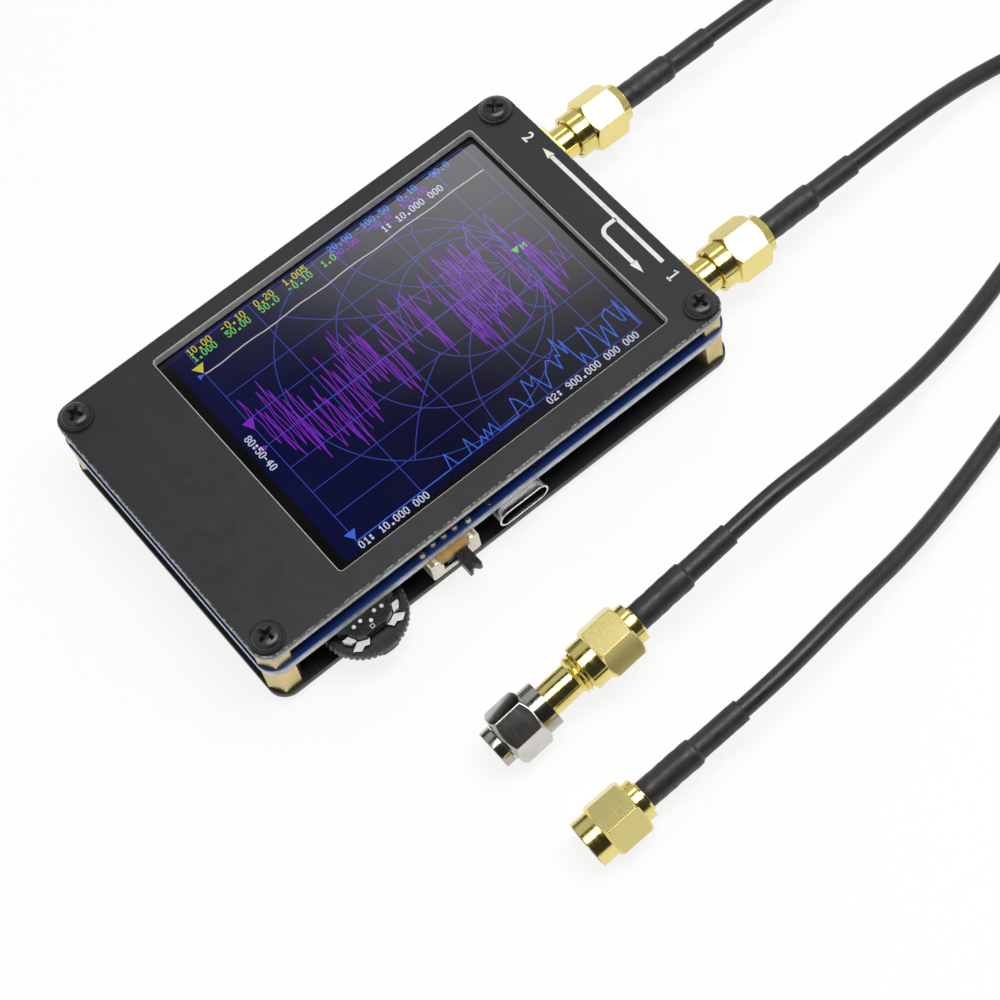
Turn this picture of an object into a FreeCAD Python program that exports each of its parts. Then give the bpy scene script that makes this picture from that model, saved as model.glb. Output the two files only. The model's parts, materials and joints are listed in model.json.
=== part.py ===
import FreeCAD, Part
import math
import os

# Pocket antenna analyzer: a sandwich of two printed circuit panels around the main board, held
# by hex standoffs, with two coaxial ports on one end, two test cables screwed to them, and a
# coupler and a matched load on one of the cables.
# Millimetres. Dimensions are taken from the middle of the panels, and from the surface that the
# part stands on. The finished part is then moved so that its origin is the middle of its plan
# without the cables.
# +X points to the coaxial ports, -Y to the side with the thumbwheel, +Z out of the screen.

V = FreeCAD.Vector
UP = V(0, 0, 1)

# ---- display glass, which the panels and the tray are laid out around ----
glass_length = 61.4
glass_width = 46.0
glass_thickness = 1.2
glass_x = 4.6

# ---- panels and board ----
panel_length = glass_length + 24.1
panel_width = glass_width + 8.0
corner_radius = 3.0
front_panel_thickness = 1.6
board_thickness = 1.6
rear_panel_thickness = 1.2
upper_gap = 3.0
lower_gap = 6.4

# ---- screws and standoffs, M3 ----
screw_inset = 3.0
screw_radius = 1.5
thread_fit = 0.03
hole_clearance = 0.1
head_radius = 2.6
head_height = 1.4
head_bevel = 0.6
recess_width = 0.75
recess_span = 2.7
recess_depth = 0.8
front_screw_grip = 1.3
rear_screw_grip = 3.0
standoff_across_flats = 5.0
stud_grip = 1.2
standoff_bore_depth = 4.5

# ---- display around its glass ----
window_length = glass_length - 0.9
window_width = glass_width + 0.7
window_x = glass_x - 0.2
window_y = 0.65
window_corner = 0.6
frame_length = glass_length + 7.8
frame_width = glass_width + 4.0
frame_height = 2.2
frame_x = glass_x - 2.9
frame_y = 1.0
touch_length = glass_length + 4.6
touch_width = glass_width + 2.6
touch_x = glass_x - 2.3
touch_thickness = 0.6
pocket_clearance = 0.1
flex_width = 22.0
flex_thickness = 0.2
flex_drop = 0.6
connector_length = 3.8
connector_height = 1.3
connector_wall = 1.0
connector_gap = 3.6

# ---- USB socket ----
usb_x = 1.9
usb_overhang = 1.4
usb_width = 8.94
usb_height = 3.2
usb_depth = 7.35
usb_wall = 0.3
usb_tongue_width = 6.7
usb_tongue_thickness = 0.7
usb_tongue_recess = 0.8
usb_block_depth = 2.4
usb_tongue_root = 0.5
usb_leg_width = 1.0
usb_leg_end = 0.2
usb_leg_spots = (2.6, 6.2)
slot_clearance = 0.15

# ---- power slide switch ----
switch_x = -10.6
switch_overhang = 1.2
switch_width = 8.7
switch_depth = 4.4
switch_height = 3.7
switch_wall = 0.3
switch_base_thickness = 0.85
switch_notch_width = 5.2
switch_window_width = 4.4
switch_window_height = 2.0
switch_travel = 2.0
switch_tab = 0.7
switch_tab_x = 3.2
switch_tab_root = 0.6
switch_nose = 1.0
switch_corner = 0.5
lever_width = 2.25
lever_height = 1.75
lever_length = 3.4
lever_notch = 0.7
slider_width = 4.8
slider_thickness = 1.0
slide_clearance = 0.1
pin_radius = 0.3
pin_pitch = 2.0
pin_inset = 1.2
leg_pitch = 8.4
leg_inset = 0.8
pin_hole_clearance = 0.15
solder_radius = 0.6
solder_height = 0.6
solder_lip = 0.05

# ---- thumbwheel switch ----
wheel_x = -26.2
wheel_overhang = 5.7
wheel_radius = 6.8
wheel_thickness = 1.6
wheel_teeth = 48
tooth_depth = 0.28
index_half_angle = 9.0
index_rise = 0.15
wheel_rim = 1.0
wheel_recess = 0.35
wheel_hub_radius = 1.9
wheel_drop = 1.7
wheel_gap = 0.05
wheel_push = 0.5
pivot_radius = 0.75
pivot_clearance = 0.05
pivot_fit = 0.01
rivet_head_radius = 1.3
rivet_head_height = 0.35
carrier_width = 3.0
carrier_length = 3.6
carrier_height = 0.8
carrier_boss_radius = 1.2
base_lift = 0.15
base_half_width = 5.0
base_overhang = 3.0
base_length = 10.0
base_nose = ((0.36, 0.0), (0.64, 0.7), (0.78, 2.1), (1.0, 2.8))
base_back_corner = 1.5
contact_radius = 0.3
contact_rise = 0.08
contact_depth = 0.3
contact_row = ((-2.5, 2.15), (-1.25, 2.3), (1.25, 2.3), (2.5, 2.15), (0.0, 1.35))
spring_thickness = 0.15
spring_lift = 0.05
spring_leaf = ((1.2, 0.5), (1.9, -0.05), (3.3, 0.66), (4.7, -0.2), (3.7, -0.95), (2.9, -0.55), (2.2, -0.85))
spring_tab = ((3.35, 0.72), (3.9, 1.9), (4.95, 1.9), (4.95, 1.6), (4.3, 0.75))
spring_tab_rise = 0.75

# ---- coaxial ports and plugs, SMA size ----
port_pitch = 33.4
port_offset = -0.5
jack_flange = 6.35
jack_flange_thickness = 1.7
jack_length = 9.5
jack_thread_radius = 3.12
jack_relief_radius = 2.8
jack_relief_length = 3.2
jack_chamfer = 0.3
counterbore_radius = 2.3
counterbore_depth = 1.9
insulator_radius = 2.05
insulator_fit = 0.01
contact_outer = 0.635
contact_tail_radius = 0.5
contact_tail_length = 4.0
socket_depth = 2.6
coax_pin_radius = 0.46
coax_pin_clearance = 0.03
prong = 1.0
prong_length = 4.2
prong_spread = 2.6
engagement = 4.8
nut_clearance = 0.06
nut_across_flats = 8.0
nut_hex_start = 2.65
nut_hex_end = 8.6
nut_length = 10.0
nut_collar_radius = 3.7
nut_band_radius = 3.2
nut_bevel = 0.55
nut_seat = 6.5
nut_gap = 0.1
plug_tube_clearance = 0.04
plug_shoulder_radius = 2.9
plug_shoulder_start = 5.1
plug_neck_radius = 2.35
neck_gap = 0.4
insulator_end = 8.5
coax_pin_reach = 2.3
ferrule_radius = 1.75
ferrule_length = 9.1
near_sleeve_length = 17.5
far_sleeve_length = 17.8
sleeve_wall = 0.35
sleeve_thin_radius = 1.72
roll_port_1 = 21.0
roll_port_2 = 24.0
roll_far_1 = -4.0
roll_far_2 = 0.0

# ---- coupler and load ----
coupler_length = 16.4
coupler_barrel_radius = 2.5
coupler_plug_thread = 6.4
coupler_load_thread = 4.6
coupler_neck = 0.4
load_nut_length = 8.2
load_hex_start = 2.4
load_hex_end = 8.0
load_cap_radius = 3.05
load_cap_length = 1.6
load_cap_gap = 0.15
load_roll = 41.0

# ---- test cables; X is measured from the end of the panels with the ports ----
cable_radius = 1.4
cable_rest = cable_radius + 0.02
cable_lead = 6.2
far_plug_1 = (-66.57, -73.06)
far_plug_1_yaw = -0.54
far_plug_1_tilt = 8.0
far_plug_2 = (-50.99, -53.57)
far_plug_2_yaw = 0.73
far_plug_2_tilt = 9.0

# ---- parts under the board ----
battery_length = 38.0
battery_width = 30.0
battery_thickness = 3.6
battery_x = -11.0
battery_y = 1.0
battery_corner = 1.5
lead_radius = 0.45
lead_pitch = 2.0
header_length = 4.6
header_width = 6.0
header_height = 3.4
header_x = 17.0
can_length = 14.0
can_width = 13.0
can_height = 2.2
can_wall = 0.2
can_x = 29.0
can_inward = 0.9
cpu_size = 7.0
cpu_height = 1.4
cpu_x = -12.0
cpu_y = 5.0
cpu_leads = 8
cpu_lead_pitch = 0.8
cpu_lead_reach = 1.0
cpu_lead_thickness = 0.2
cpu_lift = 0.1
passive_size = (1.6, 0.8, 0.6)
passive_pitch = 2.4

# Chips: place as a share of half the board's length and width, then length, width and height.
chips = (
    (0.06, 0.33, 5.0, 5.0, 0.9),
    (0.06, -0.22, 3.0, 3.0, 1.1),
    (0.41, -0.5, 4.0, 5.0, 1.5),
    (0.41, 0.54, 4.0, 5.0, 1.5),
    (-0.51, -0.3, 3.2, 2.5, 0.8),
    (-0.56, 0.44, 3.0, 1.7, 1.1),
)
# Rows of passive parts: place of the first one, as above, and how many.
passive_rows = ((-0.8, -0.44, 5), (-0.07, -0.37, 5), (0.23, 0.44, 3))

# ---- levels and places that follow ----
half_length = panel_length / 2
half_width = panel_width / 2
z_rear = head_height
z_inside = z_rear + rear_panel_thickness
z_board = z_inside + lower_gap
z_board_top = z_board + board_thickness
z_front = z_board_top + upper_gap
z_face = z_front + front_panel_thickness
screw_x = half_length - screw_inset
screw_y = half_width - screw_inset
screw_places = [(sx * screw_x, sy * screw_y) for sx in (-1, 1) for sy in (-1, 1)]
port_axis_z = z_board - contact_tail_radius
port_ys = (port_offset - port_pitch / 2, port_offset + port_pitch / 2)
nut_bore_radius = jack_thread_radius + nut_clearance
nut_back_radius = plug_neck_radius + nut_gap
reference = engagement - counterbore_depth
shoulder_end = nut_seat - nut_gap
sleeve_start = nut_length + neck_gap
port_mouth_x = half_length + jack_length - engagement

to_origin = V(-jack_length / 2, (wheel_overhang + index_rise) / 2, 0)

nodes = {}


def keep(name, *solids):
    """Store the solids of one node."""
    nodes[name] = solids[0] if len(solids) == 1 else Part.makeCompound(list(solids))


# ---- building blocks ----
def block(x0, x1, y0, y1, z0, z1):
    """Box between two values on each axis."""
    return Part.makeBox(x1 - x0, y1 - y0, z1 - z0, V(x0, y0, z0))


def slab(cx, cy, length, width, z0, z1):
    """Box given by its middle in plan, its two sides and its two heights."""
    return block(cx - length / 2, cx + length / 2, cy - width / 2, cy + width / 2, z0, z1)


def post(x, y, z0, z1, radius):
    """Upright cylinder."""
    return Part.makeCylinder(radius, z1 - z0, V(x, y, z0))


def rod(x0, x1, radius):
    """Cylinder along the X axis."""
    return Part.makeCylinder(radius, x1 - x0, V(x0, 0, 0), V(1, 0, 0))


def prism(points, z0, z1):
    """Upright prism on a polygon given in plan."""
    corners = [V(x, y, z0) for x, y in points]
    face = Part.Face(Part.makePolygon(corners + corners[:1]))
    return face.extrude(V(0, 0, z1 - z0))


def turned(profile):
    """Solid turned about the X axis from its half section, given as (x, radius)."""
    corners = [V(x, 0, r) for x, r in profile]
    face = Part.Face(Part.makePolygon(corners + corners[:1]))
    return face.revolve(V(0, 0, 0), V(1, 0, 0), 360)


def rounded_plate(cx, cy, length, width, z0, z1, radius):
    """Plate with its four upright edges rounded."""
    plate = slab(cx, cy, length, width, z0, z1)
    upright = [e for e in plate.Edges if abs(e.tangentAt(e.FirstParameter).z) > 0.9]
    return plate.makeFillet(radius, upright)


def hexagon(across_flats, turn=0.0):
    """Corners of a hexagon about the origin, the first one at the angle turn."""
    corner = across_flats / 2 / math.cos(math.radians(30))
    angles = [math.radians(turn + 60 * k) for k in range(6)]
    return [(corner * math.cos(a), corner * math.sin(a)) for a in angles]


def on_axis(shapes, x, y, z, yaw=0.0, pitch=0.0, roll=0.0):
    """Move shapes from the X axis to an axis through (x, y, z)."""
    place = FreeCAD.Placement(V(x, y, z), FreeCAD.Rotation(yaw, pitch, roll))
    moved = []
    for shape in shapes:
        copy = shape.copy()
        copy.Placement = place.multiply(copy.Placement)
        moved.append(copy)
    return moved


def point_on(place, x):
    """Point at the distance x along a placed axis."""
    return place.multVec(V(x, 0, 0))


# ---- panels, board, screws and standoffs ----
def drilled_plate(z0, z1):
    """Plate of the common outline with the four screw holes."""
    plate = rounded_plate(0, 0, panel_length, panel_width, z0, z1, corner_radius)
    radius = screw_radius + hole_clearance
    holes = [post(x, y, z0 - 1, z1 + 1, radius) for x, y in screw_places]
    return plate.cut(holes)


def front_panel():
    """Front panel with the screen window."""
    window = rounded_plate(
        window_x, window_y, window_length, window_width, z_front - 1, z_face + 1, window_corner
    )
    return drilled_plate(z_front, z_face).cut(window)


def usb_leg_boxes(clearance, top):
    """Legs of the socket shell, or with a clearance the slots that take them."""
    boxes = []
    for side in (-1, 1):
        x = usb_x + side * (usb_width - usb_wall) / 2
        for spot in usb_leg_spots:
            y = usb_leg_y(spot)
            low = z_board - usb_height / 2
            size = usb_wall + 2 * clearance
            boxes.append(slab(x, y, size, usb_leg_width + 2 * clearance, low, top))
    return boxes


def usb_leg_y(spot):
    """Distance behind the socket's mouth, as a Y value."""
    return -half_width - usb_overhang + spot


def switch_pin_places():
    """The three pins and the two shell legs of the power switch."""
    y = -half_width + pin_inset
    pins = [(switch_x + k * pin_pitch, y) for k in (-1, 0, 1)]
    legs = [(switch_x + side * leg_pitch / 2, -half_width + leg_inset) for side in (-1, 1)]
    return pins, legs


def main_board():
    """Main board with the slots and holes of the parts that pass through it."""
    board = drilled_plate(z_board, z_board_top)
    pins, legs = switch_pin_places()
    radius = pin_radius + pin_hole_clearance
    holes = [post(x, y, z_board - 1, z_board_top + 1, radius) for x, y in pins + legs]
    return board.cut(holes + usb_leg_boxes(slot_clearance, z_board_top + 1))


def pan_head_screw(x, y, seat, down, grip):
    """Pan head screw with a cross recess; down is 1 under the rear panel and -1 on the front."""
    head = post(0, 0, 0, head_height - head_bevel, head_radius)
    crown = Part.makeCone(
        head_radius, head_radius - head_bevel, head_bevel, V(0, 0, head_height - head_bevel)
    )
    low = head_height - recess_depth
    cross = slab(0, 0, recess_span, recess_width, low, head_height + 1)
    cross = cross.fuse(slab(0, 0, recess_width, recess_span, low, head_height + 1))
    screw = head.fuse(crown).cut(cross).fuse(post(0, 0, -grip, 0, screw_radius))
    if down > 0:
        screw.rotate(V(0, 0, 0), V(1, 0, 0), 180)
    screw.translate(V(x, y, seat))
    return screw


def screws():
    """Front and rear screws."""
    front_grip = front_panel_thickness + front_screw_grip
    rear_grip = rear_panel_thickness + rear_screw_grip
    keep("front_screws", *[pan_head_screw(x, y, z_face, -1, front_grip) for x, y in screw_places])
    keep("rear_screws", *[pan_head_screw(x, y, z_rear, 1, rear_grip) for x, y in screw_places])


def standoffs():
    """Brass standoffs: tapped ones under the front panel, and ones with a stud under the board."""
    bore = screw_radius + thread_fit
    upper = []
    lower = []
    for x, y in screw_places:
        outline = [(x + px, y + py) for px, py in hexagon(standoff_across_flats)]
        tapped = prism(outline, z_board_top, z_front)
        upper.append(tapped.cut(post(x, y, z_board_top - 1, z_front + 1, bore)))
        pillar = prism(outline, z_inside, z_board)
        pillar = pillar.cut(post(x, y, z_inside - 1, z_inside + standoff_bore_depth, bore))
        stud = post(x, y, z_board, z_board_top + stud_grip, screw_radius)
        lower.append(pillar.fuse(stud))
    keep("upper_standoffs", *upper)
    keep("lower_standoffs", *lower)


# ---- display ----
def display():
    """Backlight tray, glass cell, touch layer, ribbon and its connector."""
    z_frame = z_board_top + frame_height
    tray = slab(frame_x, frame_y, frame_length, frame_width, z_board_top, z_frame)
    pocket_length = glass_length + 2 * pocket_clearance
    pocket_width = glass_width + 2 * pocket_clearance
    z_pocket = z_frame - glass_thickness
    pocket = slab(glass_x, frame_y, pocket_length, pocket_width, z_pocket, z_frame + 1)
    keep("display_frame", tray.cut(pocket))
    keep("display_glass", slab(glass_x, frame_y, glass_length, glass_width, z_pocket, z_frame))
    z_touch = z_frame + touch_thickness
    keep("touch_panel", slab(touch_x, frame_y, touch_length, touch_width, z_frame, z_touch))
    tray_end = frame_x - frame_length / 2
    connector_end = tray_end - connector_gap
    z_slot = z_board_top + connector_height / 2 - flex_thickness / 2
    z_leave = z_slot + flex_drop
    slot_end = connector_end - connector_length + connector_wall
    connector = block(
        connector_end - connector_length,
        connector_end,
        frame_y - flex_width / 2 - connector_wall,
        frame_y + flex_width / 2 + connector_wall,
        z_board_top,
        z_board_top + connector_height,
    )
    slot = block(
        slot_end - pocket_clearance,
        connector_end + 1,
        frame_y - flex_width / 2 - pocket_clearance,
        frame_y + flex_width / 2 + pocket_clearance,
        z_slot,
        z_slot + flex_thickness,
    )
    keep("flex_connector", connector.cut(slot))
    bend = connector_gap / 3
    run = [
        (tray_end, z_leave),
        (tray_end - bend, z_leave),
        (connector_end + bend, z_slot),
        (slot_end, z_slot),
    ]
    outline = run + [(x, z + flex_thickness) for x, z in reversed(run)]
    corners = [V(x, frame_y - flex_width / 2, z) for x, z in outline]
    face = Part.Face(Part.makePolygon(corners + corners[:1]))
    keep("display_flex", face.extrude(V(0, flex_width, 0)))


# ---- USB socket ----
def stadium(width, height, y0, y1):
    """Flat-sided tube section of the socket, from y0 to y1, under the board."""
    radius = height / 2
    z = z_board - usb_height / 2
    half = (width - height) / 2
    body = block(usb_x - half, usb_x + half, y0, y1, z - radius, z + radius)
    for side in (-1, 1):
        centre = V(usb_x + side * (width - height) / 2, y0, z)
        body = body.fuse(Part.makeCylinder(radius, y1 - y0, centre, V(0, 1, 0)))
    return body.removeSplitter()


def usb_socket():
    """Steel shell with its legs, and the plastic insert with the tongue."""
    mouth = -half_width - usb_overhang
    back = mouth + usb_depth
    inner_width = usb_width - 2 * usb_wall
    inner_height = usb_height - 2 * usb_wall
    shell = stadium(usb_width, usb_height, mouth, back)
    shell = shell.cut(stadium(inner_width, inner_height, mouth - 1, back - usb_wall))
    shell = shell.fuse(usb_leg_boxes(0.0, z_board_top - usb_leg_end))
    shell = shell.cut(stadium(inner_width, inner_height, mouth - 1, back - usb_wall))
    keep("usb_shell", shell.removeSplitter())
    block_front = back - usb_wall - usb_block_depth
    insert = stadium(inner_width, inner_height, block_front, back - usb_wall)
    z = z_board - usb_height / 2
    tongue = block(
        usb_x - usb_tongue_width / 2,
        usb_x + usb_tongue_width / 2,
        mouth + usb_tongue_recess,
        block_front + usb_tongue_root,
        z - usb_tongue_thickness / 2,
        z + usb_tongue_thickness / 2,
    )
    keep("usb_insert", insert.fuse(tongue).removeSplitter())


# ---- power slide switch ----
def power_switch():
    """Steel shell, amber base, pins with their solder, and the sliding lever."""
    front = -half_width - switch_overhang
    back = front + switch_depth
    bottom = z_board - switch_height
    half = switch_width / 2
    z_base = z_board - switch_base_thickness
    shell = block(switch_x - half, switch_x + half, front, back, bottom, z_board)
    hollow = block(
        switch_x - half + switch_wall,
        switch_x + half - switch_wall,
        front + switch_wall,
        back - switch_wall,
        bottom + switch_wall,
        z_board + 1,
    )
    upright = [e for e in shell.Edges if abs(e.tangentAt(e.FirstParameter).y) > 0.9]
    low_edges = [e for e in upright if e.CenterOfMass.z < z_base]
    shell = shell.makeFillet(switch_corner, low_edges).cut(hollow)
    notch = switch_notch_width / 2
    window = switch_window_width / 2
    inside_wall = front + switch_nose
    for reach, low in ((notch, z_base), (window, z_base - switch_window_height)):
        x0, x1 = switch_x - reach, switch_x + reach
        shell = shell.cut(block(x0, x1, front - 1, inside_wall, low, z_board + 1))
    z_tab = z_board + switch_wall
    for side in (-1, 1):
        x0 = switch_x + side * switch_tab_x - switch_tab / 2
        x1 = x0 + switch_tab
        root = block(x0, x1, front, front + switch_wall, z_board - switch_tab_root, z_tab)
        tab = block(x0, x1, front, front + 1.5 * switch_tab, z_board, z_tab)
        shell = shell.fuse([root, tab])
    keep("power_switch_shell", shell.removeSplitter())
    inner = half - switch_wall
    base = block(
        switch_x - inner,
        switch_x + inner,
        front + switch_wall,
        back - switch_wall,
        z_base,
        z_board,
    )
    nose = block(switch_x - notch, switch_x + notch, front, inside_wall, z_base, z_board)
    pins, legs = switch_pin_places()
    base = base.fuse(nose).removeSplitter()
    keep("power_switch_base", base)
    solder = []
    for x, y in pins + legs:
        top = z_board_top + solder_height
        pin = post(x, y, z_board, top, pin_radius)
        fillet = Part.makeCone(
            solder_radius, pin_radius + solder_lip, solder_height, V(x, y, z_board_top)
        )
        solder.append(pin.fuse(fillet))
    keep("power_switch_pins", *solder)
    x = switch_x + switch_travel / 2
    inside = front + switch_wall + slide_clearance
    top = z_base - slide_clearance
    slider = slab(
        x,
        inside + slider_thickness / 2,
        slider_width,
        slider_thickness,
        bottom + switch_wall + slide_clearance,
        top,
    )
    tip = front - lever_length
    lever = slab(x, (tip + inside) / 2, lever_width, inside - tip, top - lever_height, top)
    notch_cut = prism(
        [(x - lever_notch, tip - 0.1), (x + lever_notch, tip - 0.1), (x, tip + lever_notch)],
        top - lever_height - 1,
        top + 1,
    )
    keep("power_switch_lever", slider.fuse(lever).cut(notch_cut).removeSplitter())


# ---- thumbwheel switch ----
wheel_y = -half_width - wheel_overhang + wheel_radius
wheel_top = z_board - wheel_drop
wheel_bottom = wheel_top - wheel_thickness
base_front = -half_width - base_overhang
base_bottom = wheel_top + base_lift


def toothed_outline():
    """Rim of the thumbwheel: fine teeth, and one broad index tooth at the front."""
    points = []
    step = 360.0 / wheel_teeth
    root = wheel_radius - tooth_depth
    for k in range(wheel_teeth):
        middle = -90.0 + k * step
        away = min(k, wheel_teeth - k) * step
        if away < index_half_angle:
            radius = wheel_radius + index_rise
            spots = [(-0.5, radius), (0.0, radius), (0.5, radius)]
        else:
            spots = [(-0.5, root), (-0.25, wheel_radius), (0.25, wheel_radius)]
        for share, radius in spots:
            angle = math.radians(middle + share * step)
            x = wheel_x + radius * math.cos(angle)
            y = wheel_y + radius * math.sin(angle)
            points.append((x, y))
    return points


def thumbwheel():
    """Wheel with a toothed rim, a recessed upper face and a raised hub."""
    wheel = prism(toothed_outline(), wheel_bottom, wheel_top)
    floor = wheel_top - wheel_recess
    ring = post(wheel_x, wheel_y, floor, wheel_top + 1, wheel_radius - wheel_rim)
    ring = ring.cut(post(wheel_x, wheel_y, floor - 1, wheel_top + 2, wheel_hub_radius))
    bore = pivot_radius + pivot_clearance
    wheel = wheel.cut(ring)
    return wheel.cut(post(wheel_x, wheel_y, wheel_bottom - 1, wheel_top + 1, bore))


def wheel_base():
    """Housing against the board, with the guide pocket of the carrier."""
    half = base_half_width
    right = [(share * half, y) for share, y in base_nose]
    right.append((half, base_length - base_back_corner))
    right.append((half - base_back_corner, base_length))
    left = [(-x, y) for x, y in reversed(right)]
    outline = [(wheel_x + x, base_front + y) for x, y in right + left]
    housing = prism(outline, base_bottom, z_board)
    width = carrier_width + 2 * slide_clearance
    y0 = wheel_y - carrier_length / 2 - slide_clearance
    y1 = wheel_y + carrier_length / 2 + wheel_push + slide_clearance
    z_pocket = base_bottom + carrier_height + 2 * slide_clearance
    pocket = block(wheel_x - width / 2, wheel_x + width / 2, y0, y1, base_bottom - 1, z_pocket)
    sockets = [
        post(wheel_x + dx, base_front + dy, z_board - contact_depth, z_board + 1, contact_radius)
        for dx, dy in contact_row
    ]
    return housing.cut([pocket] + sockets + wheel_springs())


def wheel_contacts():
    """Metal pin ends that show in the housing beside the board."""
    top = z_board + contact_rise
    return [
        post(wheel_x + dx, base_front + dy, z_board - contact_depth, top, contact_radius)
        for dx, dy in contact_row
    ]


def wheel_springs():
    """Return springs: a bent leaf on each side of the housing, with an upright tab."""
    pieces = []
    z0 = base_bottom + spring_lift
    for side in (-1, 1):
        leaf, tab = [
            [(wheel_x + side * x, base_front + y) for x, y in outline]
            for outline in (spring_leaf, spring_tab)
        ]
        plate = prism(leaf, z0, z0 + spring_thickness)
        wing = prism(tab, z0, z0 + spring_tab_rise)
        pieces.append(plate.fuse(wing).removeSplitter())
    return pieces


def wheel_carrier():
    """Sliding block in the housing that the wheel turns under."""
    z0 = base_bottom
    z1 = z0 + carrier_height
    body = slab(wheel_x, wheel_y, carrier_width, carrier_length, z0, z1)
    boss = post(wheel_x, wheel_y, wheel_top + wheel_gap, z0 + 0.1, carrier_boss_radius)
    body = body.fuse(boss).removeSplitter()
    return body.cut(post(wheel_x, wheel_y, wheel_top - 1, z1 + 1, pivot_radius + pivot_fit))


def wheel_rivet():
    """Rivet through the wheel into the carrier."""
    head_top = wheel_bottom - wheel_gap
    head = post(wheel_x, wheel_y, head_top - rivet_head_height, head_top, rivet_head_radius)
    shank = post(wheel_x, wheel_y, head_top, base_bottom + carrier_height, pivot_radius)
    return head.fuse(shank)


# ---- coaxial connectors; each is made along the X axis, with the nut's mouth at 0 ----
def coupling_nut(hex_start, hex_end, length):
    """Coupling nut with a round collar at the mouth, a bevelled hexagon and a round band."""
    corner = nut_across_flats / 2 / math.cos(math.radians(30))
    flat = nut_across_flats / 2
    profile = [
        (hex_start, 0),
        (hex_start, flat),
        (hex_start + nut_bevel, corner + 0.01),
        (hex_end - nut_bevel, corner + 0.01),
        (hex_end, flat),
        (hex_end, 0),
    ]
    points = [V(hex_start, y, z) for y, z in hexagon(nut_across_flats)]
    face = Part.Face(Part.makePolygon(points + points[:1]))
    hexagonal = face.extrude(V(hex_end - hex_start, 0, 0)).common(turned(profile))
    nut = hexagonal.fuse([rod(0, hex_start, nut_collar_radius), rod(hex_end, length, nut_band_radius)])
    nut = nut.cut([rod(-1, nut_seat, nut_bore_radius), rod(nut_seat - 1, length + 1, nut_back_radius)])
    return nut.removeSplitter()


def plug_front(tube_radius):
    """Half section of the inner part of a plug, up to its neck."""
    return [
        (reference, insulator_radius + insulator_fit),
        (reference, tube_radius),
        (plug_shoulder_start, tube_radius),
        (plug_shoulder_start, plug_shoulder_radius),
        (shoulder_end, plug_shoulder_radius),
        (shoulder_end, plug_neck_radius),
    ]


def plug_body():
    """Plug body with the crimp ferrule behind its neck."""
    tube = counterbore_radius - plug_tube_clearance
    profile = plug_front(tube) + [
        (sleeve_start, plug_neck_radius),
        (sleeve_start, ferrule_radius),
        (sleeve_start + ferrule_length, ferrule_radius),
        (sleeve_start + ferrule_length, 0),
        (insulator_end, 0),
        (insulator_end, insulator_radius + insulator_fit),
    ]
    return turned(profile)


def load_body():
    """Body of the load, closed by a cap behind the nut."""
    tube = counterbore_radius - plug_tube_clearance
    cap = load_nut_length + load_cap_gap
    profile = plug_front(tube) + [
        (cap, plug_neck_radius),
        (cap, load_cap_radius),
        (cap + load_cap_length, load_cap_radius),
        (cap + load_cap_length, 0),
        (insulator_end, 0),
        (insulator_end, insulator_radius + insulator_fit),
    ]
    return turned(profile)


def plug_insulator():
    """Insulator of a plug, level with the reference plane."""
    ring = rod(reference, insulator_end, insulator_radius)
    return ring.cut(rod(reference - 1, insulator_end + 1, coax_pin_radius + insulator_fit))


def coax_pin():
    """Centre pin of a plug, with a tapered tip."""
    tip = reference - coax_pin_reach
    profile = [
        (tip, 0),
        (tip, coax_pin_radius * 0.5),
        (tip + coax_pin_radius, coax_pin_radius),
        (insulator_end, coax_pin_radius),
        (insulator_end, 0),
    ]
    return turned(profile)


def shrink_sleeve(length):
    """Shrunk sleeve over the ferrule and the start of the cable."""
    step = sleeve_start + ferrule_length
    end = sleeve_start + length
    thick = ferrule_radius + sleeve_wall
    outer = [
        (sleeve_start, ferrule_radius),
        (sleeve_start, thick),
        (step, thick),
        (step + sleeve_wall, sleeve_thin_radius),
        (end, sleeve_thin_radius),
        (end, 0),
        (step, 0),
        (step, ferrule_radius),
    ]
    return turned(outer)


def socket_contact(x0, x1):
    """Contact with a socket in each end."""
    hole = coax_pin_radius + coax_pin_clearance
    body = rod(x0, x1, contact_outer)
    return body.cut([rod(x0 - 1, x0 + socket_depth, hole), rod(x1 - socket_depth, x1 + 1, hole)])


def jack_shell():
    """Port body on the board's edge: flange, threaded barrel and four prongs; the edge is at 0."""
    half = jack_flange / 2
    flange = block(0, jack_flange_thickness, -half, half, -half, half)
    relief = jack_flange_thickness + jack_relief_length
    barrel = turned(
        [
            (0, 0),
            (0, jack_relief_radius),
            (relief, jack_relief_radius),
            (relief, jack_thread_radius),
            (jack_length - jack_chamfer, jack_thread_radius),
            (jack_length, jack_thread_radius - jack_chamfer),
            (jack_length, 0),
        ]
    )
    under = -(port_axis_z - z_board)
    above = z_board_top - port_axis_z
    prongs = []
    for side in (-1, 1):
        y0 = side * prong_spread - prong / 2
        prongs.append(block(-prong_length, 0.5, y0, y0 + prong, under - prong, under))
        prongs.append(block(-prong_length, 0.5, y0, y0 + prong, above, above + prong))
    shell = flange.fuse([barrel] + prongs)
    step = jack_length - counterbore_depth
    bore = rod(-1, jack_length, insulator_radius + insulator_fit)
    return shell.cut([bore, rod(step, jack_length + 1, counterbore_radius)]).removeSplitter()


def jack_insulator():
    """Insulator of a port."""
    end = jack_length - counterbore_depth
    return rod(0, end, insulator_radius).cut(rod(-1, end + 1, contact_outer + insulator_fit))


def jack_contact():
    """Centre contact of a port, with its tail along the board's underside."""
    end = jack_length - counterbore_depth
    tail = rod(-contact_tail_length, end, contact_tail_radius)
    hole = coax_pin_radius + coax_pin_clearance
    body = tail.fuse(rod(0, end, contact_outer))
    return body.cut(rod(end - socket_depth, end + 1, hole))


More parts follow.
